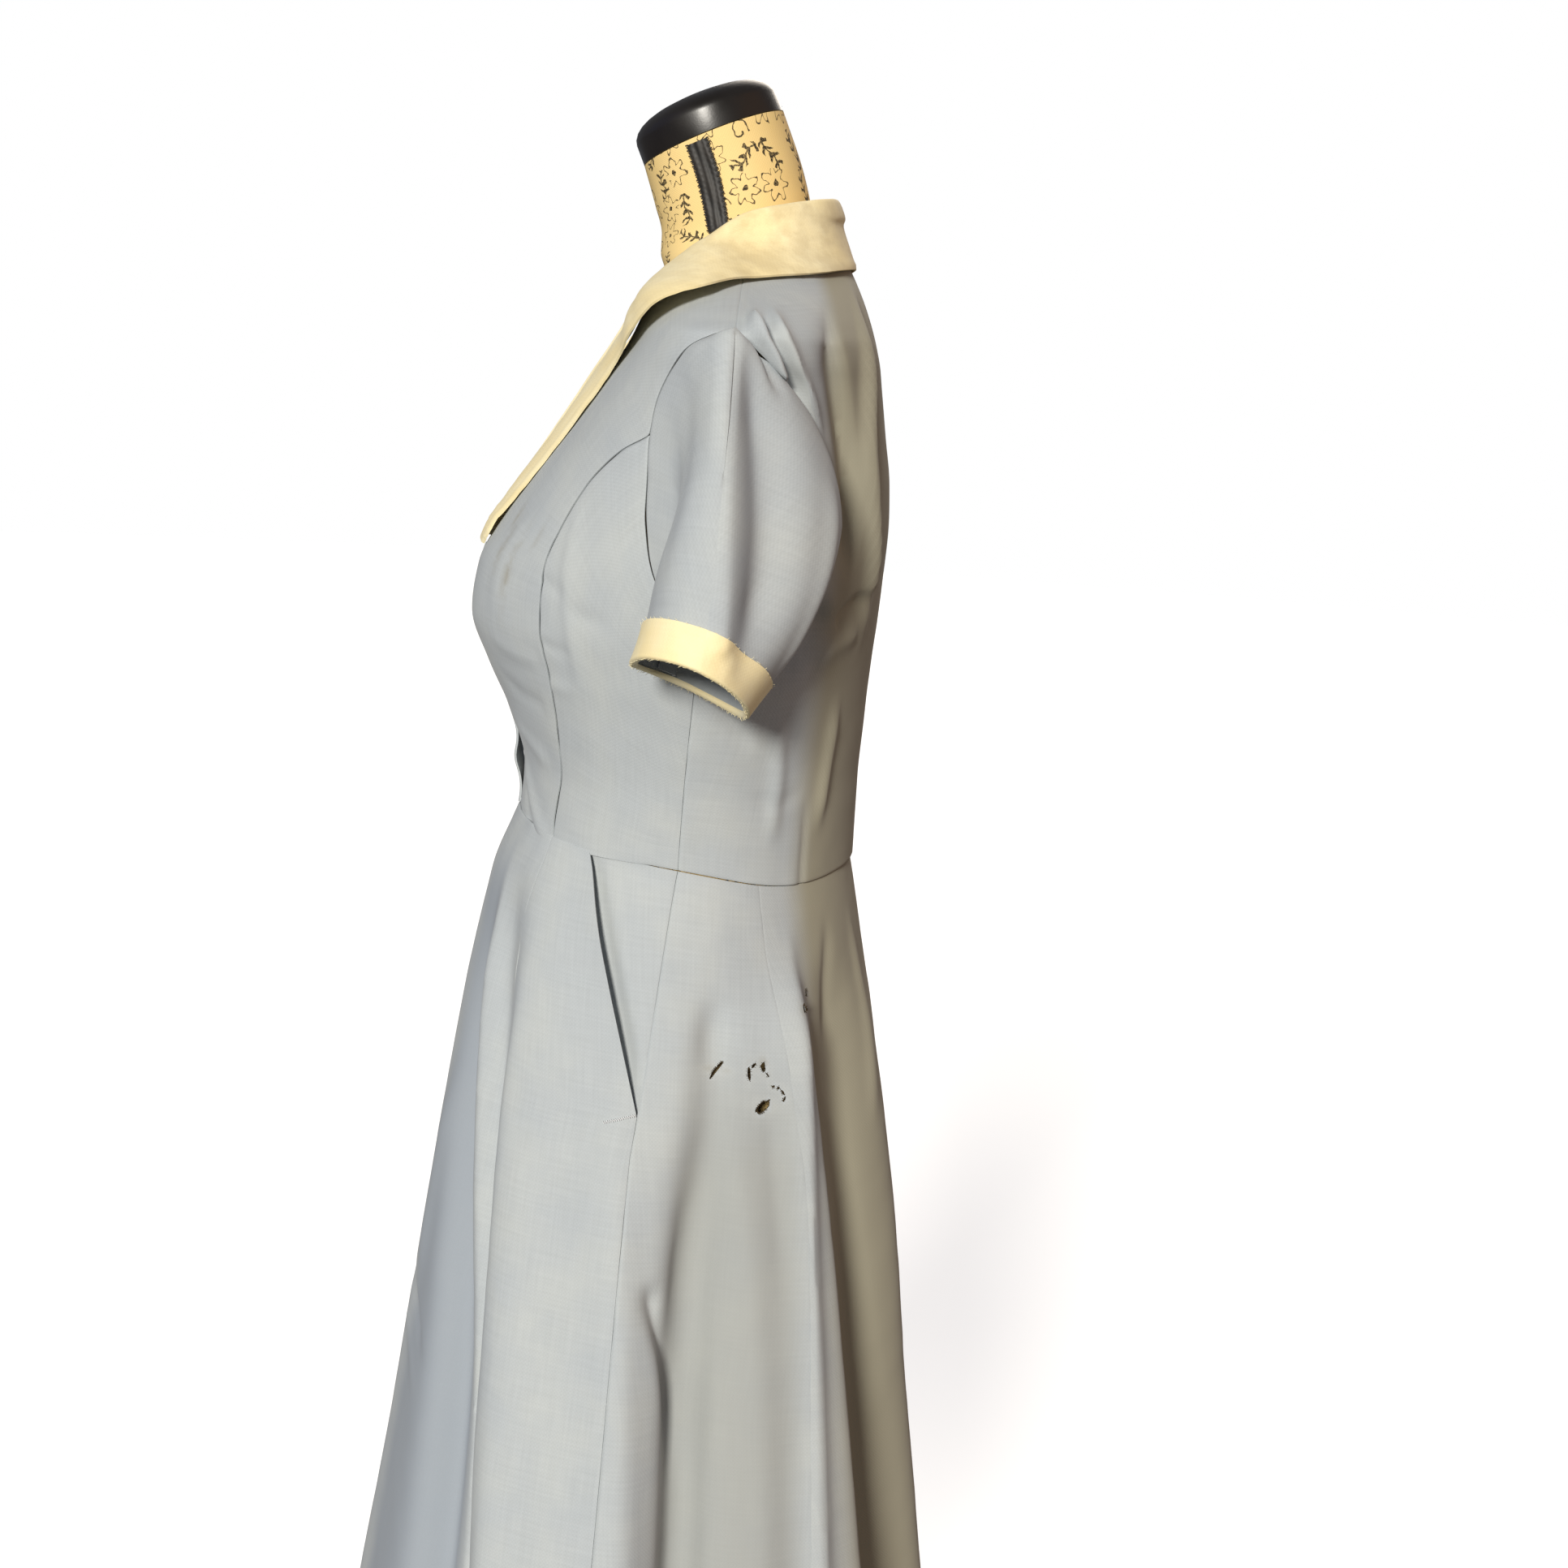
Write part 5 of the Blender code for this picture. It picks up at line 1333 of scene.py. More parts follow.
@dataclass
class Sleeves:
    """Two short set-in sleeves with turned back cuffs."""

    armhole_gap: float = 0.00042
    cuff_depth: float = 0.0215
    cuff_cloth: float = 0.0011
    cuff_flare: float = 0.0005
    cuff_off: float = 0.0021
    columns: int = 168
    rings: int = 64
    hem_centre: tuple = (0.2160, 0.0072, 1.1635)
    hem_outwards: tuple = (0.0455, 0.0060, 0.0165)
    hem_forwards: tuple = (0.0010, -0.0300, 0.0125)
    hem_raise: float = 0.0115
    slim: float = 0.0045
    front_drop: float = 0.0080
    around: float = 0.40
    # how the sleeve's lines leave the armhole and meet the hem, and what is added behind and in front
    leave: tuple = (0.080, 0.004, 0.0)
    leave_behind: tuple = (-0.030, 0.036, -0.030)
    leave_ahead: tuple = (0.0, 0.060, 0.0)
    arrive: tuple = (0.110, -0.020, -0.200)
    arrive_behind: tuple = (0.0, -0.150, -0.030)
    arrive_ahead: tuple = (0.0, -0.050, 0.0)
    creases: tuple = (
        # paths are (share of the way round times 100, share of the way down)
        Crease(((0.8, 0.04), (0.8, 0.3), (0.2, 0.5), (-2.8, 0.8), (-4.6, 0.97)), 0.0045, 0.011, 0.022, 0.1,
               0.05, 1.6),
        Crease(((-3, 0.08), (-5.5, 0.3), (-8, 0.5), (-11.5, 0.78), (-14, 0.97)), -0.0125, 0.02, 0.019,
               0.35, 0.25),
        Crease(((-4, 0), (-8, 0.12), (-11, 0.26)), -0.0036, 0.005, 0.005, 0.2, 0.5),
        Crease(((14, 0.1), (15, 0.5), (17, 0.9)), -0.0012, 0.016, 0.016, 0.4, 0.3),
        Crease(((-19, 0.3), (-22, 0.6), (-26, 0.95)), 0.0026, 0.008, 0.008, 0.3, 0.2),
        Crease(((-26, 0.35), (-29, 0.65), (-33, 0.95)), -0.0022, 0.007, 0.007, 0.3, 0.2),
    )

    def loop(self, bodice: Bodice) -> Grid:
        """The armhole on the wearer's left, from the shoulder tip down the front and up the back."""
        share = np.linspace(0, 1, self.columns, endpoint=False) * 23
        lines = (
            (0, 5, through(bodice.armhole_top, 60)), (5, 11, through(bodice.armhole_low, 72)),
            (11, 23, through(bodice.armhole_back, 144)),
        )
        out = np.zeros((self.columns, 2))
        for first, last, line in lines:
            inside = (share >= first) & (share < last)
            out[inside] = read_edge(line, (share[inside] - first) / (last - first))
        return bodice_surface(out[:, 0], out[:, 1])

    def surface(self, armhole: Grid, share: float) -> Grid:
        """A ring of the sleeve's outer face; share runs from 0 at the armhole to 1 at the hem."""
        turn = np.linspace(0, 2 * math.pi, self.columns, endpoint=False)[:, None]
        hem = self.hem_centre + np.cos(turn) * self.hem_outwards + np.sin(turn) * np.array(self.hem_forwards)
        hem[:, 2:] += self.hem_raise * np.clip(-np.cos(turn), 0, 1) ** 1.3
        away = unit((armhole - armhole.mean(0)) * (0, 1, 1))
        low = np.clip(-away[:, 2:], 0, 1)
        behind = np.clip(away[:, 1:2], 0, 1)
        ahead = np.clip(-away[:, 1:2], 0, 1)
        leave = np.array(self.leave) * (1 - 0.6 * low) + away * (0, 0.006, 0.020)
        leave = leave + behind * self.leave_behind + ahead * self.leave_ahead
        arrive = np.array(self.arrive) * (1 - 0.8 * low)
        arrive = arrive + behind * self.arrive_behind + ahead * self.arrive_ahead
        start = armhole + (self.armhole_gap, 0, 0)
        ring = hermite(share, start, hem, leave, arrive)
        front = np.clip(np.sin(turn), 0, 1)[:, 0]
        ring[:, 1] += self.slim * front * math.sin(math.pi * share)
        ring[:, 1] -= self.front_drop * front * math.exp(-(((share - 0.76) / 0.20) ** 2))
        return ring

    def outwards(self, grid: Grid) -> Grid:
        """Normals that point away from the sleeve's axis."""
        normal = grid_normal(grid, True)
        return normal * np.sign((normal * (grid - grid.mean(1, keepdims=True))).sum())

    def rows(self) -> Grid:
        """Shares of the way down for the sleeve's rings, closer together at both ends."""
        tight = np.array([0.0, 0.003, 0.007, 0.013, 0.021])
        return np.concatenate([tight, np.linspace(0.032, 0.985, self.rings), [0.993, 1.0]])

    def grid(self, bodice: Bodice, side: int) -> tuple:
        """The sleeve's outer points with its creases, and their normals."""
        armhole = self.loop(bodice)
        share = self.rows()
        plain = np.stack([self.surface(armhole, t) for t in share])
        normal = self.outwards(plain)
        around = np.linspace(0, 100, self.columns, endpoint=False)
        down = lengths(plain, 0)[-1].mean()
        turn = np.broadcast_to(np.where(around > 50, around - 100, around), plain.shape[:2])
        level = np.broadcast_to(share[:, None] * down, turn.shape)
        degree = np.full(turn.shape, self.around / 100)
        creases = self.creases if side > 0 else hidden(self.creases, 1.0, 0.75)
        laid = tuple(c._replace(path=tuple((a, t * down) for a, t in c.path)) for c in creases)
        out = crease_field(laid, turn, level, degree)
        cut = smooth((50 - np.abs(turn)) / 8)
        fine = Cloth()
        out += fine.sway * lumps(turn * 0.09 + 3, level / 0.045, 51) * cut
        out += fine.crumple * lumps(turn * 0.3 + 5, level / 0.014, 52) * cut
        pucker = lumps(turn * 0.45, 0 * turn + 0.5, 53) * np.exp(-level / 0.008)
        out += 0.00035 * pucker - 0.0010 * np.exp(-((level / 0.0014) ** 2))
        out *= smooth((1 - share[:, None]) / 0.06) * 0.75 + 0.25
        return plain + normal * out[..., None], normal

    def cuff(self, sleeve: Grid, normal: Grid) -> Grid:
        """The cuff's outer points: up the outside from the inner edge, round the hem, with a soft kink."""
        length = lengths(sleeve, 0)
        turn = np.linspace(0, 2 * math.pi, sleeve.shape[1], endpoint=False)
        wave = lumps(np.linspace(0, 9, sleeve.shape[1], endpoint=False), np.zeros(sleeve.shape[1]), 61)
        rings = []
        for row in (0.0, 0.02, 0.08, 0.2, 0.35, 0.5, 0.65, 0.8, 0.92, 0.98, 1.0):
            kink = 0.0010 * np.exp(-(((turn - 5.9) / 0.16) ** 2)) * math.sin(math.pi * row)
            lift = self.cuff_off + self.cuff_flare * row + kink + 0.0006 * wave * math.sin(math.pi * row)
            at = length[-1] - self.cuff_depth * (1 - row)
            place, face = (
                np.array([[np.interp(at[c], length[:, c], values[:, c, k]) for k in range(3)]
                          for c in range(len(at))])
                for values in (sleeve, normal)
            )
            rings.append(place + face * lift[:, None])
        down = unit(sleeve[-1] - sleeve[-3])
        rings[-1] += down * 0.0006
        outer_lift = self.cuff_off + self.cuff_flare
        for drop, lift in ((0.0013, outer_lift - 0.0006), (0.0017, outer_lift * 0.4), (0.0016, -0.0004),
                           (0.0011, -0.0014), (0.0003, -0.0020), (-0.0010, -0.0021)):
            rings.append(sleeve[-1] + down * drop + normal[-1] * lift)
        return np.array(rings)

    def build(self, finishes: Finishes, repeat: Repeat, bodice: Bodice) -> dict:
        """Makes the sleeves, their cuffs, the seam allowance inside each and its stitches."""
        made = {}
        for word, side in SIDES:
            grid, normal = self.grid(bodice, side)
            around = (np.arange(self.columns) * 100 / self.columns + 50) % 100 - 50
            # painted shade: the cloth along the sleeve's long trough is painted darker and bluer, by values
            # below zero
            trough = np.exp(-(((around[None] + 2.5 + 6 * self.rows()[:, None]) / 3.0) ** 2))
            stain = -0.55 * trough * smooth(self.rows()[:, None] / 0.4)
            made[f"sleeve_{word}"] = wall(f"sleeve_{word}", mirrored(grid, side), mirrored(normal, side),
                                          CLOTH, finishes.blue, stain, closed=True)
            rings = self.cuff(grid, normal)
            face = self.outwards(rings)
            soil = 0.35 * np.exp(-((np.linspace(0, 1, rings.shape[1])[None] - 0.94) / 0.04) ** 2)
            soil = soil + 0 * rings[..., 0]
            made[f"cuff_{word}"] = wall(f"cuff_{word}", mirrored(rings, side), mirrored(face, side),
                                        self.cuff_cloth, finishes.cream, soil if side > 0 else soil[:, ::-1],
                                        closed=True)
            made.update(self.inside(word, side, grid, normal, finishes, repeat))
            made.update(self.frays(word, side, rings, face, finishes, repeat))
        return made

    def inside(self, word: str, side: int, grid: Grid, normal: Grid, finishes: Finishes,
               repeat: Repeat) -> dict:
        """The overlocked seam allowance that shows inside the sleeve, with its zigzag."""
        middle = int(self.columns * 0.40)
        first = grid.shape[0] - 22
        spine = grid[first:-3, middle] - normal[first:-3, middle] * 0.0016
        aside = unit(grid[first:-3, middle + 3] - grid[first:-3, middle])
        inward = -normal[first:-3, middle]
        strip = np.stack([spine + aside * a + inward * b for a, b in (
            (0.0, 0.0), (0.003, 0.0010), (0.006, 0.0024), (0.009, 0.0034), (0.011, 0.0038))], 1)
        face = grid_normal(strip, False)
        mirror = np.array([side, 1, 1])
        piece = wall(f"sleeve_seam_{word}", strip * mirror, face * mirror, 0.0008, finishes.blue,
                     np.zeros(strip.shape[:2]))
        zigzag = repeat.lay(f"sleeve_overlock_{word}", (strip[:, -1] + face[:, -1] * 0.0002) * mirror,
                            face[:, -1] * mirror, finishes.white_thread, seed=3, Pitch=0.0011, Length=0.0030,
                            Radius=0.00018, Slant=0.9)
        return {piece.name: piece, **zigzag}

    def frays(self, word: str, side: int, rings: Grid, face: Grid, finishes: Finishes,
              repeat: Repeat) -> dict:
        """Loose ends along the cuff's folded edges."""
        mirror = np.array([side, 1, 1])
        made = {}
        for name, row, pitch in (("top", 0, 0.0060), ("hem", 12, 0.0021)):
            made.update(repeat.lay(
                f"cuff_fray_{name}_{word}", rings[row] * mirror, face[row] * mirror, finishes.cream_thread,
                seed=7 + row, closed=True, Pitch=pitch, Length=0.0030, Radius=0.00012, Slant=0.5, Wander=1.1,
                Scatter=0.0004,
            ))
        return made

    def dress(self, made: dict) -> None:
        """Puts each piece on its body; the sleeves and cuffs take the place of their solids."""
        for name, piece in made.items():
            word = name.rsplit("_", 1)[1]
            trim = name.startswith("cuff")
            main = name in (f"sleeve_{word}", f"cuff_{word}")
            settle(piece, Slot.TRIM if trim else Slot.DRESS, *((name,) if main else ()))


@dataclass
class Skirt:
    """The gored skirt with its slanted pocket slits, folds and worn holes."""

    step: float = 0.0037
    fold_growth: float = 0.62
    fold_onset: float = 0.035
    swing_growth: float = 0.6
    pocket_top: float = 60.0
    pocket_depth: float = 0.138
    pocket_underlap: float = 7.0
    pocket_bow: float = 0.74
    pocket_gape: float = 0.0034
    pocket_inset: float = 0.0026
    girth_top: float = 0.118
    girth_growth: float = 0.21
    bank_width: float = 0.012
    bank_depth: float = 0.0056
    hem_turning: float = 0.040
    front_seam: tuple = ((0.0, 44.0), (0.15, 46.0), (0.35, 50.0), (0.62, 52.0))
    back_seam: tuple = ((0.0, 117.5), (0.116, 122.0), (0.200, 124.0), (0.62, 125.0))
    folds: tuple = (
        Fold(3, 0, 0.04, 0.01, 13, 12),
        Fold(29, 24, 0.004, -0.045, 11, 9),
        Fold(46, 26, 0.004, 0.024, 9, 17, 0.012),
        Fold(84, 3, 0.1, 0.011, 9, 7),
        Fold(106, -6, 0.04, -0.026, 7, 8),
        Fold(124, 14, 0.03, 0.022, 10, 7, -0.012),
        Fold(141, 15, 0.03, -0.032, 7, 8),
        Fold(160, 8, 0.04, 0.014, 9, 8),
        Fold(174, 4, 0.08, -0.006, 6, 6),
        Fold(-24, -6, 0.03, -0.026, 10, 10),
        Fold(-46, -8, 0.02, 0.02, 10, 12, 0.006),
        Fold(-77, 0, 0.05, -0.019, 10, 10),
        Fold(-97, 0, 0.06, 0.015, 11, 10),
        Fold(-118, -5, 0.04, -0.024, 9, 10),
        Fold(-141, -5, 0.05, 0.018, 10, 10, -0.005),
        Fold(-164, 0, 0.05, -0.014, 8, 8),
    )
    creases: tuple = (
        # the sharp front edge of the broad side panel, and the deep hollow before it
        Crease(((27, 0.01), (29, 0.096), (34, 0.192), (41.5, 0.336), (48, 0.62)), 0.0125, 0.0085, 0.03,
               0.15, 0.02, 1.4),
        Crease(((23, 0.03), (24.5, 0.124), (29.5, 0.22), (36.5, 0.34), (43, 0.62)), -0.015, 0.016, 0.0075,
               0.25, 0.02),
        Crease(((50, 0.04), (52, 0.12), (55, 0.22), (58, 0.34), (60, 0.62)), 0.0022, 0.005, 0.008, 0.2, 0.05),
        Crease(((66, 0.08), (69, 0.2), (71, 0.4), (72, 0.62)), -0.002, 0.012, 0.012, 0.3, 0.1),
        # the light ridge along the side and the small beak below it
        Crease(((78, 0.09), (82, 0.192), (85, 0.26), (88, 0.4), (88, 0.62)), 0.006, 0.018, 0.011, 0.3, 0.05),
        Crease(((89, 0.226), (92, 0.25), (95.5, 0.274), (98.5, 0.304), (100, 0.36)), -0.0075, 0.0045,
               0.009, 0.12, 0.4, 1.5),
        # the hollow behind it, then the light fold over the holes
        Crease(((104, 0.06), (102, 0.12)), -0.0035, 0.01, 0.01, 0.5, 0.5),
        Crease(((101.5, 0.13), (100.5, 0.172), (100.5, 0.26), (101, 0.4), (101, 0.62)), -0.012, 0.016,
               0.013, 0.22, 0.05),
        Crease(((108, 0.06), (109.5, 0.148), (114, 0.22), (117, 0.34), (118, 0.62)), 0.0036, 0.012, 0.014,
               0.3, 0.05),
        Crease(((118, 0.12), (119, 0.18), (121, 0.26)), -0.0016, 0.006, 0.008, 0.2, 0.5),
        # the sharp edge of the next fold and its dark hollow
        Crease(((129, 0.015), (126, 0.1), (125, 0.196), (126, 0.304), (128, 0.62)), 0.0105, 0.015, 0.006,
               0.15, 0.02, 1.5),
        Crease(((132, 0.04), (134, 0.108), (136, 0.216), (137, 0.32), (139, 0.62)), -0.0165, 0.007, 0.018,
               0.25, 0.02, 1.6),
        Crease(((149, 0.06), (154, 0.224), (157, 0.34), (159, 0.62)), 0.003, 0.012, 0.012, 0.3, 0.05),
        Crease(((162, 0.02), (161, 0.1), (159, 0.176)), 0.0024, 0.005, 0.006),
        Crease(((146, 0.02), (144, 0.06), (145, 0.11)), -0.002, 0.005, 0.006),
        # soft marks on the front, towards the shaded side
        Crease(((16, 0.16), (15, 0.26), (14, 0.33)), 0.003, 0.012, 0.01),
        Crease(((2, 0.318), (16, 0.328), (28, 0.35)), -0.0025, 0.006, 0.006, 0.1, 0.4),
        Crease(((6, 0.34), (16, 0.352), (26, 0.372)), 0.0016, 0.007, 0.007, 0.2, 0.4),
    )
    far_creases: tuple = (
        Crease(((-30, 0.02), (-34, 0.12), (-38, 0.3), (-42, 0.62)), 0.007, 0.024, 0.007, 0.2, 0.02, 1.5),
        Crease(((-24, 0.04), (-27, 0.15), (-31, 0.3), (-35, 0.62)), -0.008, 0.006, 0.012, 0.3, 0.02),
        Crease(((-62, 0.08), (-64, 0.25), (-66, 0.62)), -0.003, 0.012, 0.012, 0.3, 0.1),
        Crease(((-95, 0.08), (-97, 0.3), (-97, 0.62)), 0.005, 0.012, 0.014, 0.3, 0.05),
        Crease(((-92, 0.24), (-88, 0.28), (-84, 0.32)), -0.005, 0.006, 0.007, 0.2, 0.5),
        Crease(((-112, 0.06), (-112, 0.25), (-114, 0.62)), -0.006, 0.012, 0.012, 0.3, 0.05),
        Crease(((-133, 0.04), (-136, 0.25), (-140, 0.62)), 0.007, 0.008, 0.024, 0.2, 0.02, 1.5),
        Crease(((-144, 0.06), (-149, 0.3), (-153, 0.62)), -0.006, 0.012, 0.008, 0.3, 0.05),
    )
    holes: tuple = (
        Hole(104.8, 0.1085, 0.0125, 0.0022, 50),
        Hole(113, 0.108, 0.002, 0.008, 2),
        Hole(114.1, 0.1033, 0.004, 0.0017, 42),
        Hole(116.3, 0.104, 0.0031, 0.0064, -4),
        Hole(117.3, 0.1085, 0.001, 0.003, 34),
        Hole(118.4, 0.115, 0.0017, 0.0016, 0),
        Hole(119.4, 0.1158, 0.0018, 0.0016, 30),
        Hole(120.3, 0.1185, 0.0012, 0.0038, 24),
        Hole(120.5, 0.1222, 0.0012, 0.0034, -26),
        Hole(116.2, 0.1265, 0.0108, 0.0046, 40),
        Hole(127.2, 0.0725, 0.003, 0.0052, -22),
        Hole(128.6, 0.0725, 0.0036, 0.001, -24),
        Hole(132.6, 0.064, 0.001, 0.0054, -14),
    )

    def offset(self, turn: Grid, drop: Grid) -> tuple:
        """How far the folds move the skirt out, and how far they lean to the front."""
        out = np.zeros(np.broadcast(turn, drop).shape)
        forwards = out.copy()
        for fold in self.folds:
            middle = fold.turn + fold.swing * np.clip(drop / SKIRT_LENGTH, 0, 1) ** self.swing_growth
            away = (turn - middle + 180.0) % 360.0 - 180.0
            flank = np.where(away * np.sign(fold.turn) < 0, fold.front_flank, fold.back_flank)
            below = np.clip(drop - fold.start, 0, None)
            grown = (below / (SKIRT_LENGTH - fold.start)) ** self.fold_growth
            shape = grown * (1 - np.exp(-((below / self.fold_onset) ** 2))) * np.exp(-((away / flank) ** 2))
            out = out + fold.height * shape
            forwards = forwards + fold.lean * np.sign(fold.turn) * shape
        return out, forwards

    def surface(self, turn: Grid, drop: Grid) -> Grid:
        """The outer face of the skirt at a turn, a drop below the waist seam."""
        turn, drop = np.broadcast_arrays(np.asarray(turn, float), np.asarray(drop, float))
        table = np.array(SKIRT, float)
        half_width, side_y, front, back = (cubic(table[:, 0], table[:, k], drop) for k in range(1, 5))
        x, y, _ = ring_point(SKIRT, turn, drop)
        reach = np.where(np.cos(np.radians(turn)) >= 0, front + side_y, back - side_y)
        out = np.stack([x / half_width**2, (y - side_y) / reach**2], -1)
        out = unit(out)
        outwards, forwards = self.offset(turn, drop)
        aside = np.stack([out[..., 1], -out[..., 0]], -1)
        plan = np.stack([x, y], -1) + out * outwards[..., None] + aside * forwards[..., None]
        z = WAIST + waist_rise(turn) * (1 - drop / SKIRT_LENGTH) - drop
        return np.concatenate([plan, z[..., None]], -1)

    def side_turn(self, drop: Grid) -> Grid:
        """The side seam, which swings a little forwards below the waist."""
        return 90.0 - 6.0 * np.clip(np.asarray(drop) / 0.16, 0, 1) ** 0.8

    def slit_turn(self, drop: Grid) -> Grid:
        """The pocket's slit, from the waist seam to the side seam."""
        share = np.clip(np.asarray(drop) / self.pocket_depth, 0, 1)
        across = self.side_turn(self.pocket_depth) - self.pocket_top
        return self.pocket_top + across * share**self.pocket_bow

    def front_turn(self, drop: Grid) -> Grid:
        """The front gore seam."""
        return cubic(*np.array(self.front_seam).T, drop)

    def back_turn(self, drop: Grid) -> Grid:
        """The back gore seam."""
        return cubic(*np.array(self.back_seam).T, drop)

    def far_back_turn(self, drop: Grid) -> Grid:
        """The back gore seam on the wearer's right."""
        return 360 - self.back_turn(drop)

    def opening_turn(self, drop: Grid) -> Grid:
        """The side front's back edge: the slit, then the side seam."""
        return np.where(drop <= self.pocket_depth, self.slit_turn(drop), self.side_turn(drop))

    def hip_turn(self, drop: Grid) -> Grid:
        """The hip piece's front edge, hidden under the side front."""
        return self.slit_turn(drop) - self.pocket_underlap

    def degree(self, drop: Grid) -> Grid:
        """The metres that one degree of turn spans."""
        return np.radians(1) * (self.girth_top + self.girth_growth * drop)

    def gape(self, turn: Grid, drop: Grid) -> Grid:
        """The front panel's cut edge stands off the hip piece in the middle of the slit."""
        share = np.clip(drop / self.pocket_depth, 0, 1)
        near = np.clip(1 - (self.slit_turn(drop) - turn) / 9.0, 0, 1) ** 2
        return self.pocket_gape * np.sin(np.pi * share) ** 0.7 * near

    def inset(self, turn: Grid, drop: Grid) -> Grid:
        """The hip piece dips steeply under the front panel beside the slit."""
        share = np.clip(drop / self.pocket_depth, 0, 1)
        width = np.maximum(self.side_turn(drop) - self.slit_turn(drop), 1e-6)
        behind = np.clip((self.side_turn(drop) - turn) / width, 0, 1)
        away = (turn - self.slit_turn(drop)) * self.degree(drop)
        bank = smooth(1 - away / self.bank_width) * self.bank_depth * np.sin(np.pi * share) ** 0.6
        return -(self.pocket_inset + 0.0006) * np.maximum(behind**1.5, share**6) - bank

    def gore(self, name: str, first: Callable, last: Callable, width: float, side: int,
             finish: Material, seams: tuple, shift: Callable | None = None,
             depth: float = SKIRT_LENGTH, seed: int = 70) -> Object:
        """A skirt panel between two lines of turns.

        Args:
            name: The piece's name.
            first: The front line, as a function of the drop.
            last: The back line.
            width: The panel's width at the hem.
            side: 1 for the wearer's left, -1 for the right.
            finish: Its material.
            seams: How deep the waist, back, hem and front seams sink.
            shift: How far points move out, as a function of turn and drop.
            depth: How far down the panel reaches.
            seed: Picks the unevenness.

        Returns:
            The panel.
        """
        drops = spaced(depth, self.step)[:, None] * depth
        u = spaced(width, self.step)[None]
        turn = first(drops) * (1 - u) + last(drops) * u
        drop = np.broadcast_to(drops, turn.shape)
        own = turn * side
        plain = self.surface(own, drop)
        normal = surface_normal(self.surface, own, drop, -1)
        degree = self.degree(drop)
        out = crease_field(self.creases if side > 0 else self.far_creases, own, drop, degree)
        if name == "skirt_back":
            out += crease_field(self.far_creases, own - 360, drop, degree)
        out *= smooth(drop / 0.03)
        relief = Cloth()
        worked = relief.relief(plain, seams, own, drop, degree, seed)
        if shift == self.gape:
            cut = relief.relief(plain, (seams[0], 0, 0, seams[3]), own, drop, degree, seed)
            worked = np.where(drop < self.pocket_depth - 0.004, cut, worked)
        out += worked
        if depth == SKIRT_LENGTH:
            out += 0.0004 * smooth((drop - SKIRT_LENGTH + self.hem_turning) / 0.0015)
        if shift is not None:
            out += shift(turn, drop)
        # painted shade on the hollow behind the side ridge: darker and bluer by values below zero, and warm
        # olive
        hollow = smooth((own - 93) / 7) * smooth((126 - own) / 6) * smooth((drop - 0.07) / 0.1)
        stain = self.soil(own, drop, degree) - 0.45 * hollow
        aged = np.clip(back_shade_share(own) + 0.35 * hollow, 0, 1)
        return wall(name, plain + normal * out[..., None], normal, CLOTH, finish, stain, aged=aged)

    def soil(self, turn: Grid, drop: Grid, degree: Grid) -> Grid:
        """A ragged brown darkening round the worn holes, and painted shade below zero over the hollow before
        the front fold's sharp edge.
        """
        spots = [Spot(h.turn, h.drop, h.length * 0.75 + 0.001, h.width * 0.75 + 0.001, 0.5)
                 for h in self.holes]
        # painted shade: the front hollow is painted darker and bluer
        edge = np.interp(drop, *np.array(self.creases[0].path).T[::-1])
        front = smooth((edge - np.abs(turn)) / 4) * smooth((np.abs(turn) - 9) / 9) * smooth(drop / 0.06)
        return stains(spots, turn, drop, degree) - 0.85 * front

    def build(self, finishes: Finishes, repeat: Repeat) -> dict:
        """Makes the gores, hip pieces, holes, bar tacks and hem stitches."""
        made = {}
        sewn, side_back, hip = (1, 0.3, 0, 0.3), (1, 0.3, 0, 2.2), (1, 0.3, 0, 0)
        pieces = (
            ("skirt_front", np.zeros_like, self.front_turn, 0.19, sewn, None, SKIRT_LENGTH),
            ("skirt_side_front", self.front_turn, self.opening_turn, 0.14, sewn, self.gape, SKIRT_LENGTH),
            ("pocket_hip", self.hip_turn, self.side_turn, 0.06, hip, self.inset, self.pocket_depth),
            ("skirt_side_back", self.side_turn, self.back_turn, 0.17, side_back, None, SKIRT_LENGTH),
        )
        for word, side in SIDES:
            for number, (stem, first, last, width, seams, shift, depth) in enumerate(pieces):
                name = f"{stem}_{word}"
                made[name] = self.gore(name, first, last, width, side, finishes.blue, seams, shift, depth,
                                       seed=70 + 5 * number)
        made["skirt_back"] = self.gore("skirt_back", self.back_turn, self.far_back_turn, 0.46, 1,
                                       finishes.blue, sewn, seed=95)
        self.cut_holes(made)
        made.update(self.threads(finishes, repeat))
        return made

    def rim(self, hole: Hole, number: int, grow: float = 1.0) -> tuple:
        """The ragged rim of a hole, as points on the skirt, with the cloth's normal."""
        turn, drop = np.float64(hole.turn), np.float64(hole.drop)
        centre = self.surface(turn, drop)
        normal = surface_normal(self.surface, turn, drop, -1)
        along = unit(np.cross((0.0, 0.0, 1.0), normal))
        up = np.cross(normal, along)
        slant = math.radians(hole.slant)
        angle = np.linspace(0, 2 * math.pi, 22, endpoint=False)
        ragged = 1 + 0.22 * lumps(angle * 1.6 + 3.1 * number, 0 * angle + number, 88)
        a = hole.length / 2 * np.cos(angle) * ragged * grow
        b = hole.width / 2 * np.sin(angle) * ragged * grow
        rim = (centre + np.outer(a * math.cos(slant) - b * math.sin(slant), along)
               + np.outer(a * math.sin(slant) + b * math.cos(slant), up))
        lift = crease_field(self.creases, *(np.array([value]) for value in (turn, drop, self.degree(drop))))
        return rim + normal * lift, normal

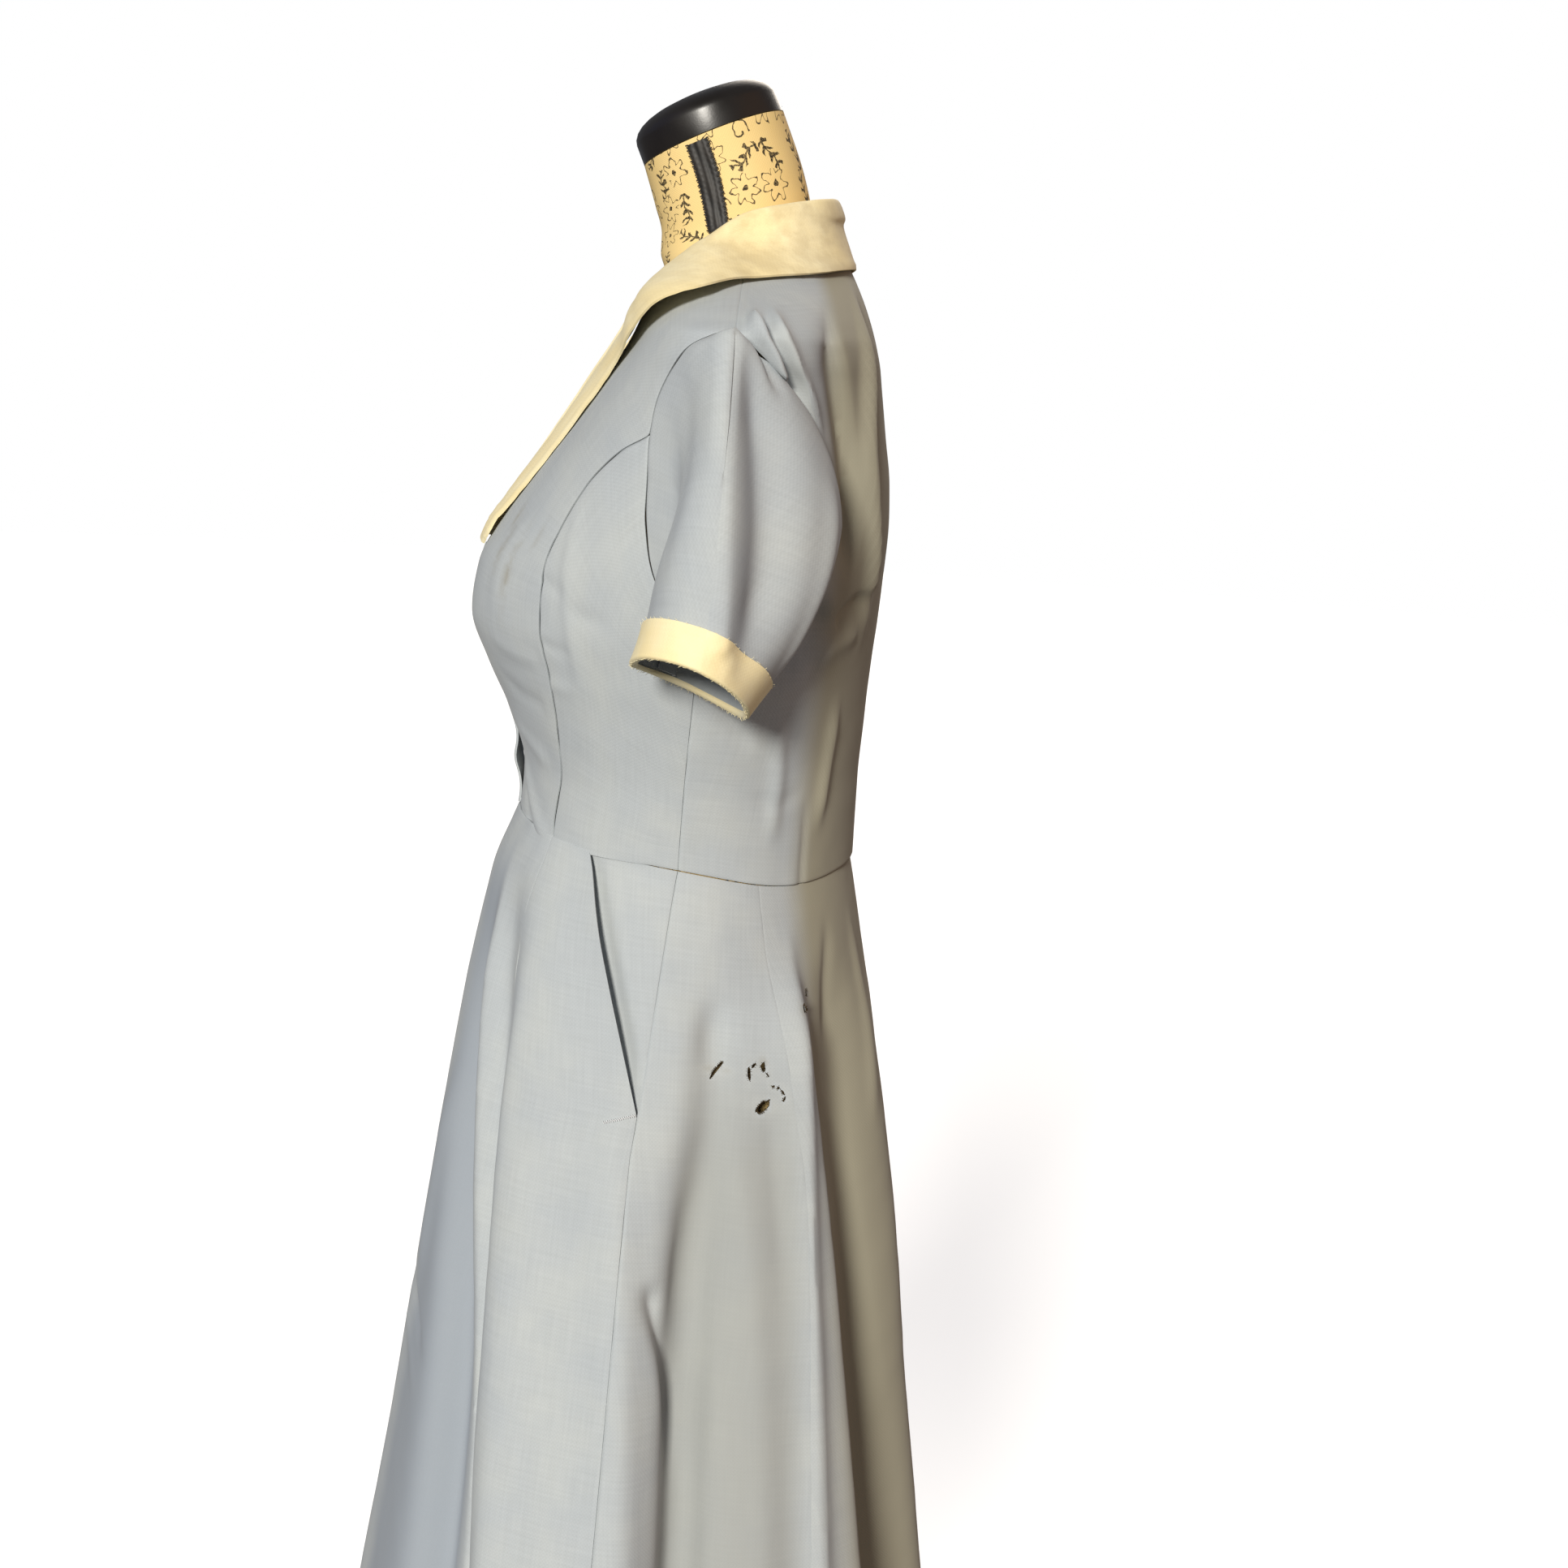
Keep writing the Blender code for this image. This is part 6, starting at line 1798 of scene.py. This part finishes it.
    def cutter(self, hole: Hole, number: int) -> Object:
        """A prism with a hole's ragged rim, through both faces of the cloth."""
        rim, normal = self.rim(hole, number)
        count = len(rim)
        points = np.concatenate([rim + normal * 0.006, rim - normal * 0.006])
        faces = [range(count), range(2 * count - 1, count - 1, -1)]
        faces += [((k + 1) % count, k, count + k, count + (k + 1) % count) for k in range(count)]
        mesh = bpy.data.meshes.new("hole_cutter")
        mesh.from_pydata(points.tolist(), [], faces)
        face_out(mesh)
        return placed("hole_cutter", mesh)

    def cut_holes(self, made: dict) -> None:
        """Cuts the worn holes through the back gores."""
        cutters = []
        for number, hole in enumerate(self.holes):
            panel = "skirt_side_back_left" if hole.turn < self.edge(hole) else "skirt_back"
            modifier = made[panel].modifiers.new(f"hole_{number}", "BOOLEAN")
            modifier.operation = "DIFFERENCE"
            modifier.solver = "EXACT"
            modifier.object = self.cutter(hole, number)
            cutters.append(modifier.object)
        for panel in ("skirt_side_back_left", "skirt_back"):
            cut = applied(made[panel])
            made[panel].modifiers.clear()
            made[panel].data = cut
        for cutter in cutters:
            bpy.data.objects.remove(cutter)

    def edge(self, hole: Hole) -> float:
        """The back gore seam's turn at a hole's height."""
        return float(self.back_turn(hole.drop))

    def threads(self, finishes: Finishes, repeat: Repeat) -> dict:
        """Bar tacks at the foot of each slit, the hem's stitches and the frayed rims of the holes."""
        made = {}
        for word, side in SIDES:
            turn, drop = np.linspace(84.3, 77.6, 24) * side, np.linspace(0.1372, 0.1440, 24)
            path, normal = self.laid_on(turn, drop, self.gape(np.abs(turn), drop) + 0.0010)
            made.update(repeat.lay(f"bar_tack_{word}", path, normal, finishes.white_thread, seed=2,
                                   Pitch=0.00062, Length=0.0020, Radius=0.00019, Slant=1.15, Wander=0.12))
            drop = np.full(400, SKIRT_LENGTH - self.hem_turning + 0.002)
            path, normal = self.laid_on(np.linspace(2, 178, 400) * side, drop, 0.0004)
            made.update(repeat.lay(f"hem_stitch_{word}", path, normal, finishes.blue_thread, seed=5,
                                   Pitch=0.0090, Length=0.0018, Radius=0.00016, Wander=0.2))
        # the holes' frayed threads are coloured like the shadow inside the holes, a painted shadow
        for number, hole in enumerate(self.holes):
            rim, normal = self.rim(hole, number, 0.93)
            made.update(repeat.lay(f"hole_fray_{number + 1}", rim, np.tile(normal, (len(rim), 1)),
                                   finishes.shadow_brown_fray, seed=30 + number, closed=True, Pitch=0.0006,
                                   Length=0.0019, Radius=0.00017, Slant=1.2, Wander=0.9))
        return made

    def laid_on(self, turn: Grid, drop: Grid, lift: Grid | float) -> tuple:
        """Points that lie on the creased cloth or a little off it, and its normals there."""
        creases = self.creases if turn[0] > 0 else self.far_creases
        off = crease_field(creases, turn, drop, self.degree(drop)) + lift
        normal = surface_normal(self.surface, turn, drop, -1)
        return self.surface(turn, drop) + normal * off[:, None], normal

    def dress(self, made: dict) -> None:
        """Puts each piece on its body, in place of its solid where it has one."""
        cuts = {
            "skirt_front": ((0.300, 0.640), 0.1150), "skirt_side_front": ((0.200, 0.640), 0.0800),
            "pocket_hip": ((0.090, 0.150), 0.0080), "skirt_side_back": ((0.210, 0.640), 0.0850),
            "skirt_back": ((0.560, 0.640), 0.2500),
        }
        for name, piece in made.items():
            stem = name.removesuffix("_left").removesuffix("_right")
            if stem not in cuts:
                settle(piece, Slot.DRESS)
                continue
            settle(piece, Slot.DRESS, name)
            threads = [made[key] for key in self.carried(name)]

    def carried(self, name: str) -> list:
        """The names of the threads that lie on a panel."""
        stem, _, word = name.rpartition("_")
        if name in ("skirt_back", "skirt_side_back_left"):
            return [f"hole_fray_{n + 1}" for n, h in enumerate(self.holes)
                    if (h.turn >= self.edge(h)) == (name == "skirt_back")]
        return {"skirt_side_front": [f"bar_tack_{word}"], "skirt_front": [f"hem_stitch_{word}"]}.get(stem, [])


@dataclass
class Form:
    """The limbless torso, its neck cap and the braid down each side of the neck."""

    columns: int = 120
    covered_inset: float = 0.0012
    braid_turn: float = 77.0
    braid_half: float = 0.0058
    braid_from: float = 0.376
    braid_to: float = 0.431
    braid_cloth: float = 0.0009
    braid_gap: float = 0.0013
    scallop: float = 0.0009
    scallop_pitch: float = 0.0036
    cap_profile: tuple = ((0.0003, 0.985), (0.0006, 1.0), (0.013, 1.0), (0.016, 0.985), (0.019, 0.94),
                          (0.0215, 0.87), (0.0235, 0.78), (0.0252, 0.66), (0.0265, 0.50), (0.0273, 0.34),
                          (0.0275, 0.18), (0.0276, 0.04))

    def surface(self, turn: Grid, rise: Grid) -> Grid:
        """The torso's outer face."""
        turn, rise = np.broadcast_arrays(np.asarray(turn, float), np.asarray(rise, float))
        x, y, lean = ring_point(FORM, turn, rise)
        return np.stack([x, y, WAIST + rise + lean], -1)

    def build(self, finishes: Finishes, repeat: Repeat) -> dict:
        """Makes the torso, the cap and the braids."""
        rises = np.concatenate([np.arange(-0.230, 0.300, 0.006), np.arange(0.300, 0.4335, 0.0018), [0.4340]])
        turn = np.linspace(0, 360, self.columns, endpoint=False)
        grid = self.surface(*np.meshgrid(turn, rises))
        normal = grid_normal(grid, True)
        inset = self.covered_inset * smooth((0.362 - rises) / 0.01)
        grid = grid - normal * inset[:, None, None]
        made = {"form_torso": self.solid("form_torso", grid, finishes.linen)}
        top = self.surface(turn, np.full(turn.shape, 0.4340))
        centre = top.mean(0)
        lean = math.radians(FORM[-1].tilt)
        axis = np.array([0, -math.sin(lean), math.cos(lean)])
        rings = np.array([centre + (top - centre) * size + axis * height
                          for height, size in self.cap_profile])
        made["form_neck_cap"] = self.solid("form_neck_cap", rings, finishes.cap)
        for word, side in SIDES:
            made.update(self.braid(word, side, finishes, repeat))
        return made

    def solid(self, name: str, grid: Grid, finish: Material) -> Object:
        """A closed solid through rings, capped at both ends, with a UV map in metres."""
        rows, columns = grid.shape[:2]
        u = lengths(np.concatenate([grid, grid[:, :1]], 1), 1)
        v = lengths(grid, 0).mean(1)
        points = grid.reshape(-1, 3)
        faces, uv = [], []
        for r in range(rows - 1):
            for c in range(columns):
                corners = ((r, c), (r, c + 1), (r + 1, c + 1), (r + 1, c))
                faces.append([row * columns + column % columns for row, column in corners])
                uv += [(u[row, column], v[row]) for row, column in corners]
        for loop in (range(columns)[::-1], range(len(points) - columns, len(points))):
            faces.append(list(loop))
            uv += [tuple(points[k, :2]) for k in loop]
        return add_piece(name, points, faces, finish, uv, np.zeros(len(points)))

    def braid(self, word: str, side: int, finishes: Finishes, repeat: Repeat) -> dict:
        """A braid with scalloped edges, and the small loops along them."""
        rise = np.linspace(self.braid_from, self.braid_to, 92)
        spine = self.surface(np.full(rise.shape, self.braid_turn), rise)
        along = np.concatenate([[0], np.linalg.norm(np.diff(spine, axis=0), axis=1).cumsum()])
        half = self.braid_half + self.scallop * np.abs(np.sin(math.pi * along / self.scallop_pitch))
        table = np.array(FORM, float)
        width = cubic(table[:, 0], table[:, 1], rise)
        share = np.linspace(-1, 1, 13)
        turn = self.braid_turn + np.degrees(share[None] * half[:, None] / width[:, None])
        level = np.broadcast_to(rise[:, None], turn.shape)
        points = self.surface(turn, level)
        normal = grid_normal(points, False)
        ridge = 0.0003 * np.cos(3 * math.pi * share)[None]
        points = points + normal * (self.braid_gap + self.braid_cloth + ridge)[..., None]
        mirror = np.array([side, 1, 1])
        name = f"form_braid_{word}"
        made = {name: wall(name, points * mirror, normal * mirror, self.braid_cloth, finishes.braid,
                           np.zeros(turn.shape))}
        for edge, column in (("front", 0), ("back", -1)):
            made.update(repeat.lay(f"braid_loops_{edge}_{word}", points[:, column] * mirror,
                                   normal[:, column] * mirror, finishes.braid, seed=4, Pitch=0.0018,
                                   Length=0.0017, Radius=0.00042, Slant=1.25))
        return made

    def dress(self, made: dict) -> None:
        """Puts each piece on its body; all but the braid loops take the place of their solids."""
        for name, piece in made.items():
            if name == "form_torso":
                settle(piece, Slot.FORM, name)
            else:
                settle(piece, Slot.BRAID, *((name,) if not name.startswith("braid_loops") else ()))


@dataclass
class Stand:
    """The weighted round base, its socket, the pole and the flange under the torso."""

    nodes: tuple = ("stand_base", "stand_socket", "stand_pole", "stand_flange")

    def dress(self, finishes: Finishes) -> None:
        """Gives the solids, whose shapes are right, their enamel."""
        for name in self.nodes:
            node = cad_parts[name]
            for slot in node.material_slots:
                slot.material = finishes.steel
            if not node.material_slots:
                node.data.materials.append(finishes.steel)
            LOG.info("%s: enamelled", name)


@dataclass
class Studio:
    """A pale floor, soft light from the front and side, and the camera at the photograph's angle."""

    camera_at: tuple = (1.30, 0.0603, 1.327)
    lens_mm: float = 46.36
    sensor_mm: float = 36.0
    right: tuple = (-0.01177, 0.99813, 0.05990)
    up: tuple = (-0.19240, -0.06105, 0.97941)
    back: tuple = (0.98125, 0.0, 0.19276)
    floor_radius: float = 14.0

    def build(self) -> None:
        """Makes the floor, the lights, the world and the camera."""
        self.floor()
        self.camera()
        self.light("key", (2.6, -0.60, 0.90), 3.6, "#fffaf0", 12)
        self.light("front_fill", (0.25, -2.6, 0.5), 0.10, "#4f84ff", 60)
        self.light("back_fill", (0.4, 2.6, 0.7), 0.34, "#ffae58", 60)
        self.light("far_side", (-2.6, 0.5, 1.3), 1.20, "#fff4e6", 30)
        world = bpy.data.worlds.new("studio")
        world.use_nodes = True
        tree = world.node_tree
        tree.nodes.clear()
        seen = add_node(tree, "ShaderNodeBackground", {"Color": linear("#ffffff"), "Strength": 1.0})
        lit = add_node(tree, "ShaderNodeBackground", {"Color": linear("#f1f5ff"), "Strength": 0.20})
        add_node(tree, "ShaderNodeOutputWorld", {0: self.by_sight(tree, lit, seen)})
        bpy.context.scene.world = world
        bpy.context.scene.view_settings.view_transform = "Standard"

    def by_sight(self, tree: Tree, lit: bpy.types.Node, seen: bpy.types.Node) -> Socket:
        """One shader for the light that falls on things and another for what the camera sees."""
        path = add_node(tree, "ShaderNodeLightPath")
        return add_node(tree, "ShaderNodeMixShader", {0: path.outputs["Is Camera Ray"], 1: lit.outputs[0],
                                                      2: seen.outputs[0]}).outputs[0]

    def floor(self) -> None:
        """A wide round floor, white to the camera and greyer to the light that it throws back."""
        work = bmesh.new()
        bmesh.ops.create_circle(work, cap_ends=True, segments=96, radius=self.floor_radius)
        mesh = bpy.data.meshes.new("studio_floor")
        work.to_mesh(mesh)
        work.free()
        made, tree = new_material("pale_floor")
        seen = add_node(tree, "ShaderNodeBsdfPrincipled", {
            "Base Color": linear("#fcfcfc"), "Roughness": 0.95, "Emission Color": linear("#ffffff"),
            "Emission Strength": 0.50,
        })
        dim = add_node(tree, "ShaderNodeBsdfDiffuse", {"Color": linear("#6f6f70")})
        end_with(tree, self.by_sight(tree, dim, seen))
        mesh.materials.append(made)
        floor = placed("studio_floor", mesh)

    def light(self, name: str, towards: tuple, strength: float, colour: str, softness: float) -> None:
        """A far, soft light.

        Args:
            name: Its name.
            towards: The direction that it comes from.
            strength: Its strength in watts per square metre.
            colour: Its colour as sRGB hex.
            softness: The angle that it seems to fill, in degrees.
        """
        lamp = bpy.data.lights.new(name, "SUN")
        lamp.energy = strength
        lamp.color = linear(colour)[:3]
        lamp.angle = math.radians(softness)
        made = placed(name, lamp)
        x, y, z = towards
        made.location = towards
        made.rotation_euler = (math.atan2(math.hypot(x, y), z), 0.0, math.atan2(y, x) + math.pi / 2)

    def camera(self) -> None:
        """The camera, level with the bust and looking at the wearer's left side."""
        lens = bpy.data.cameras.new("camera")
        lens.lens = self.lens_mm
        lens.sensor_width = self.sensor_mm
        made = placed("camera", lens)
        turned = np.eye(4)
        for k, axis in enumerate((self.right, self.up, self.back, self.camera_at)):
            turned[:3, k] = axis
        made.matrix_world = Matrix(turned.tolist())
        bpy.context.scene.camera = made


def main() -> None:
    """Builds and places every piece."""
    logging.basicConfig(level=logging.INFO, format="%(message)s")
    finishes = Finishes()
    repeat = Repeat()
    bodice = Bodice()
    bodice.dress(bodice.build(finishes))
    collar = Collar()
    collar.dress(collar.build(finishes))
    sleeves = Sleeves()
    sleeves.dress(sleeves.build(finishes, repeat, bodice))
    skirt = Skirt()
    skirt.dress(skirt.build(finishes, repeat))
    form = Form()
    form.dress(form.build(finishes, repeat))
    Stand().dress(finishes)
    Studio().build()
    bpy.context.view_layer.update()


if __name__ == "__main__":
    main()
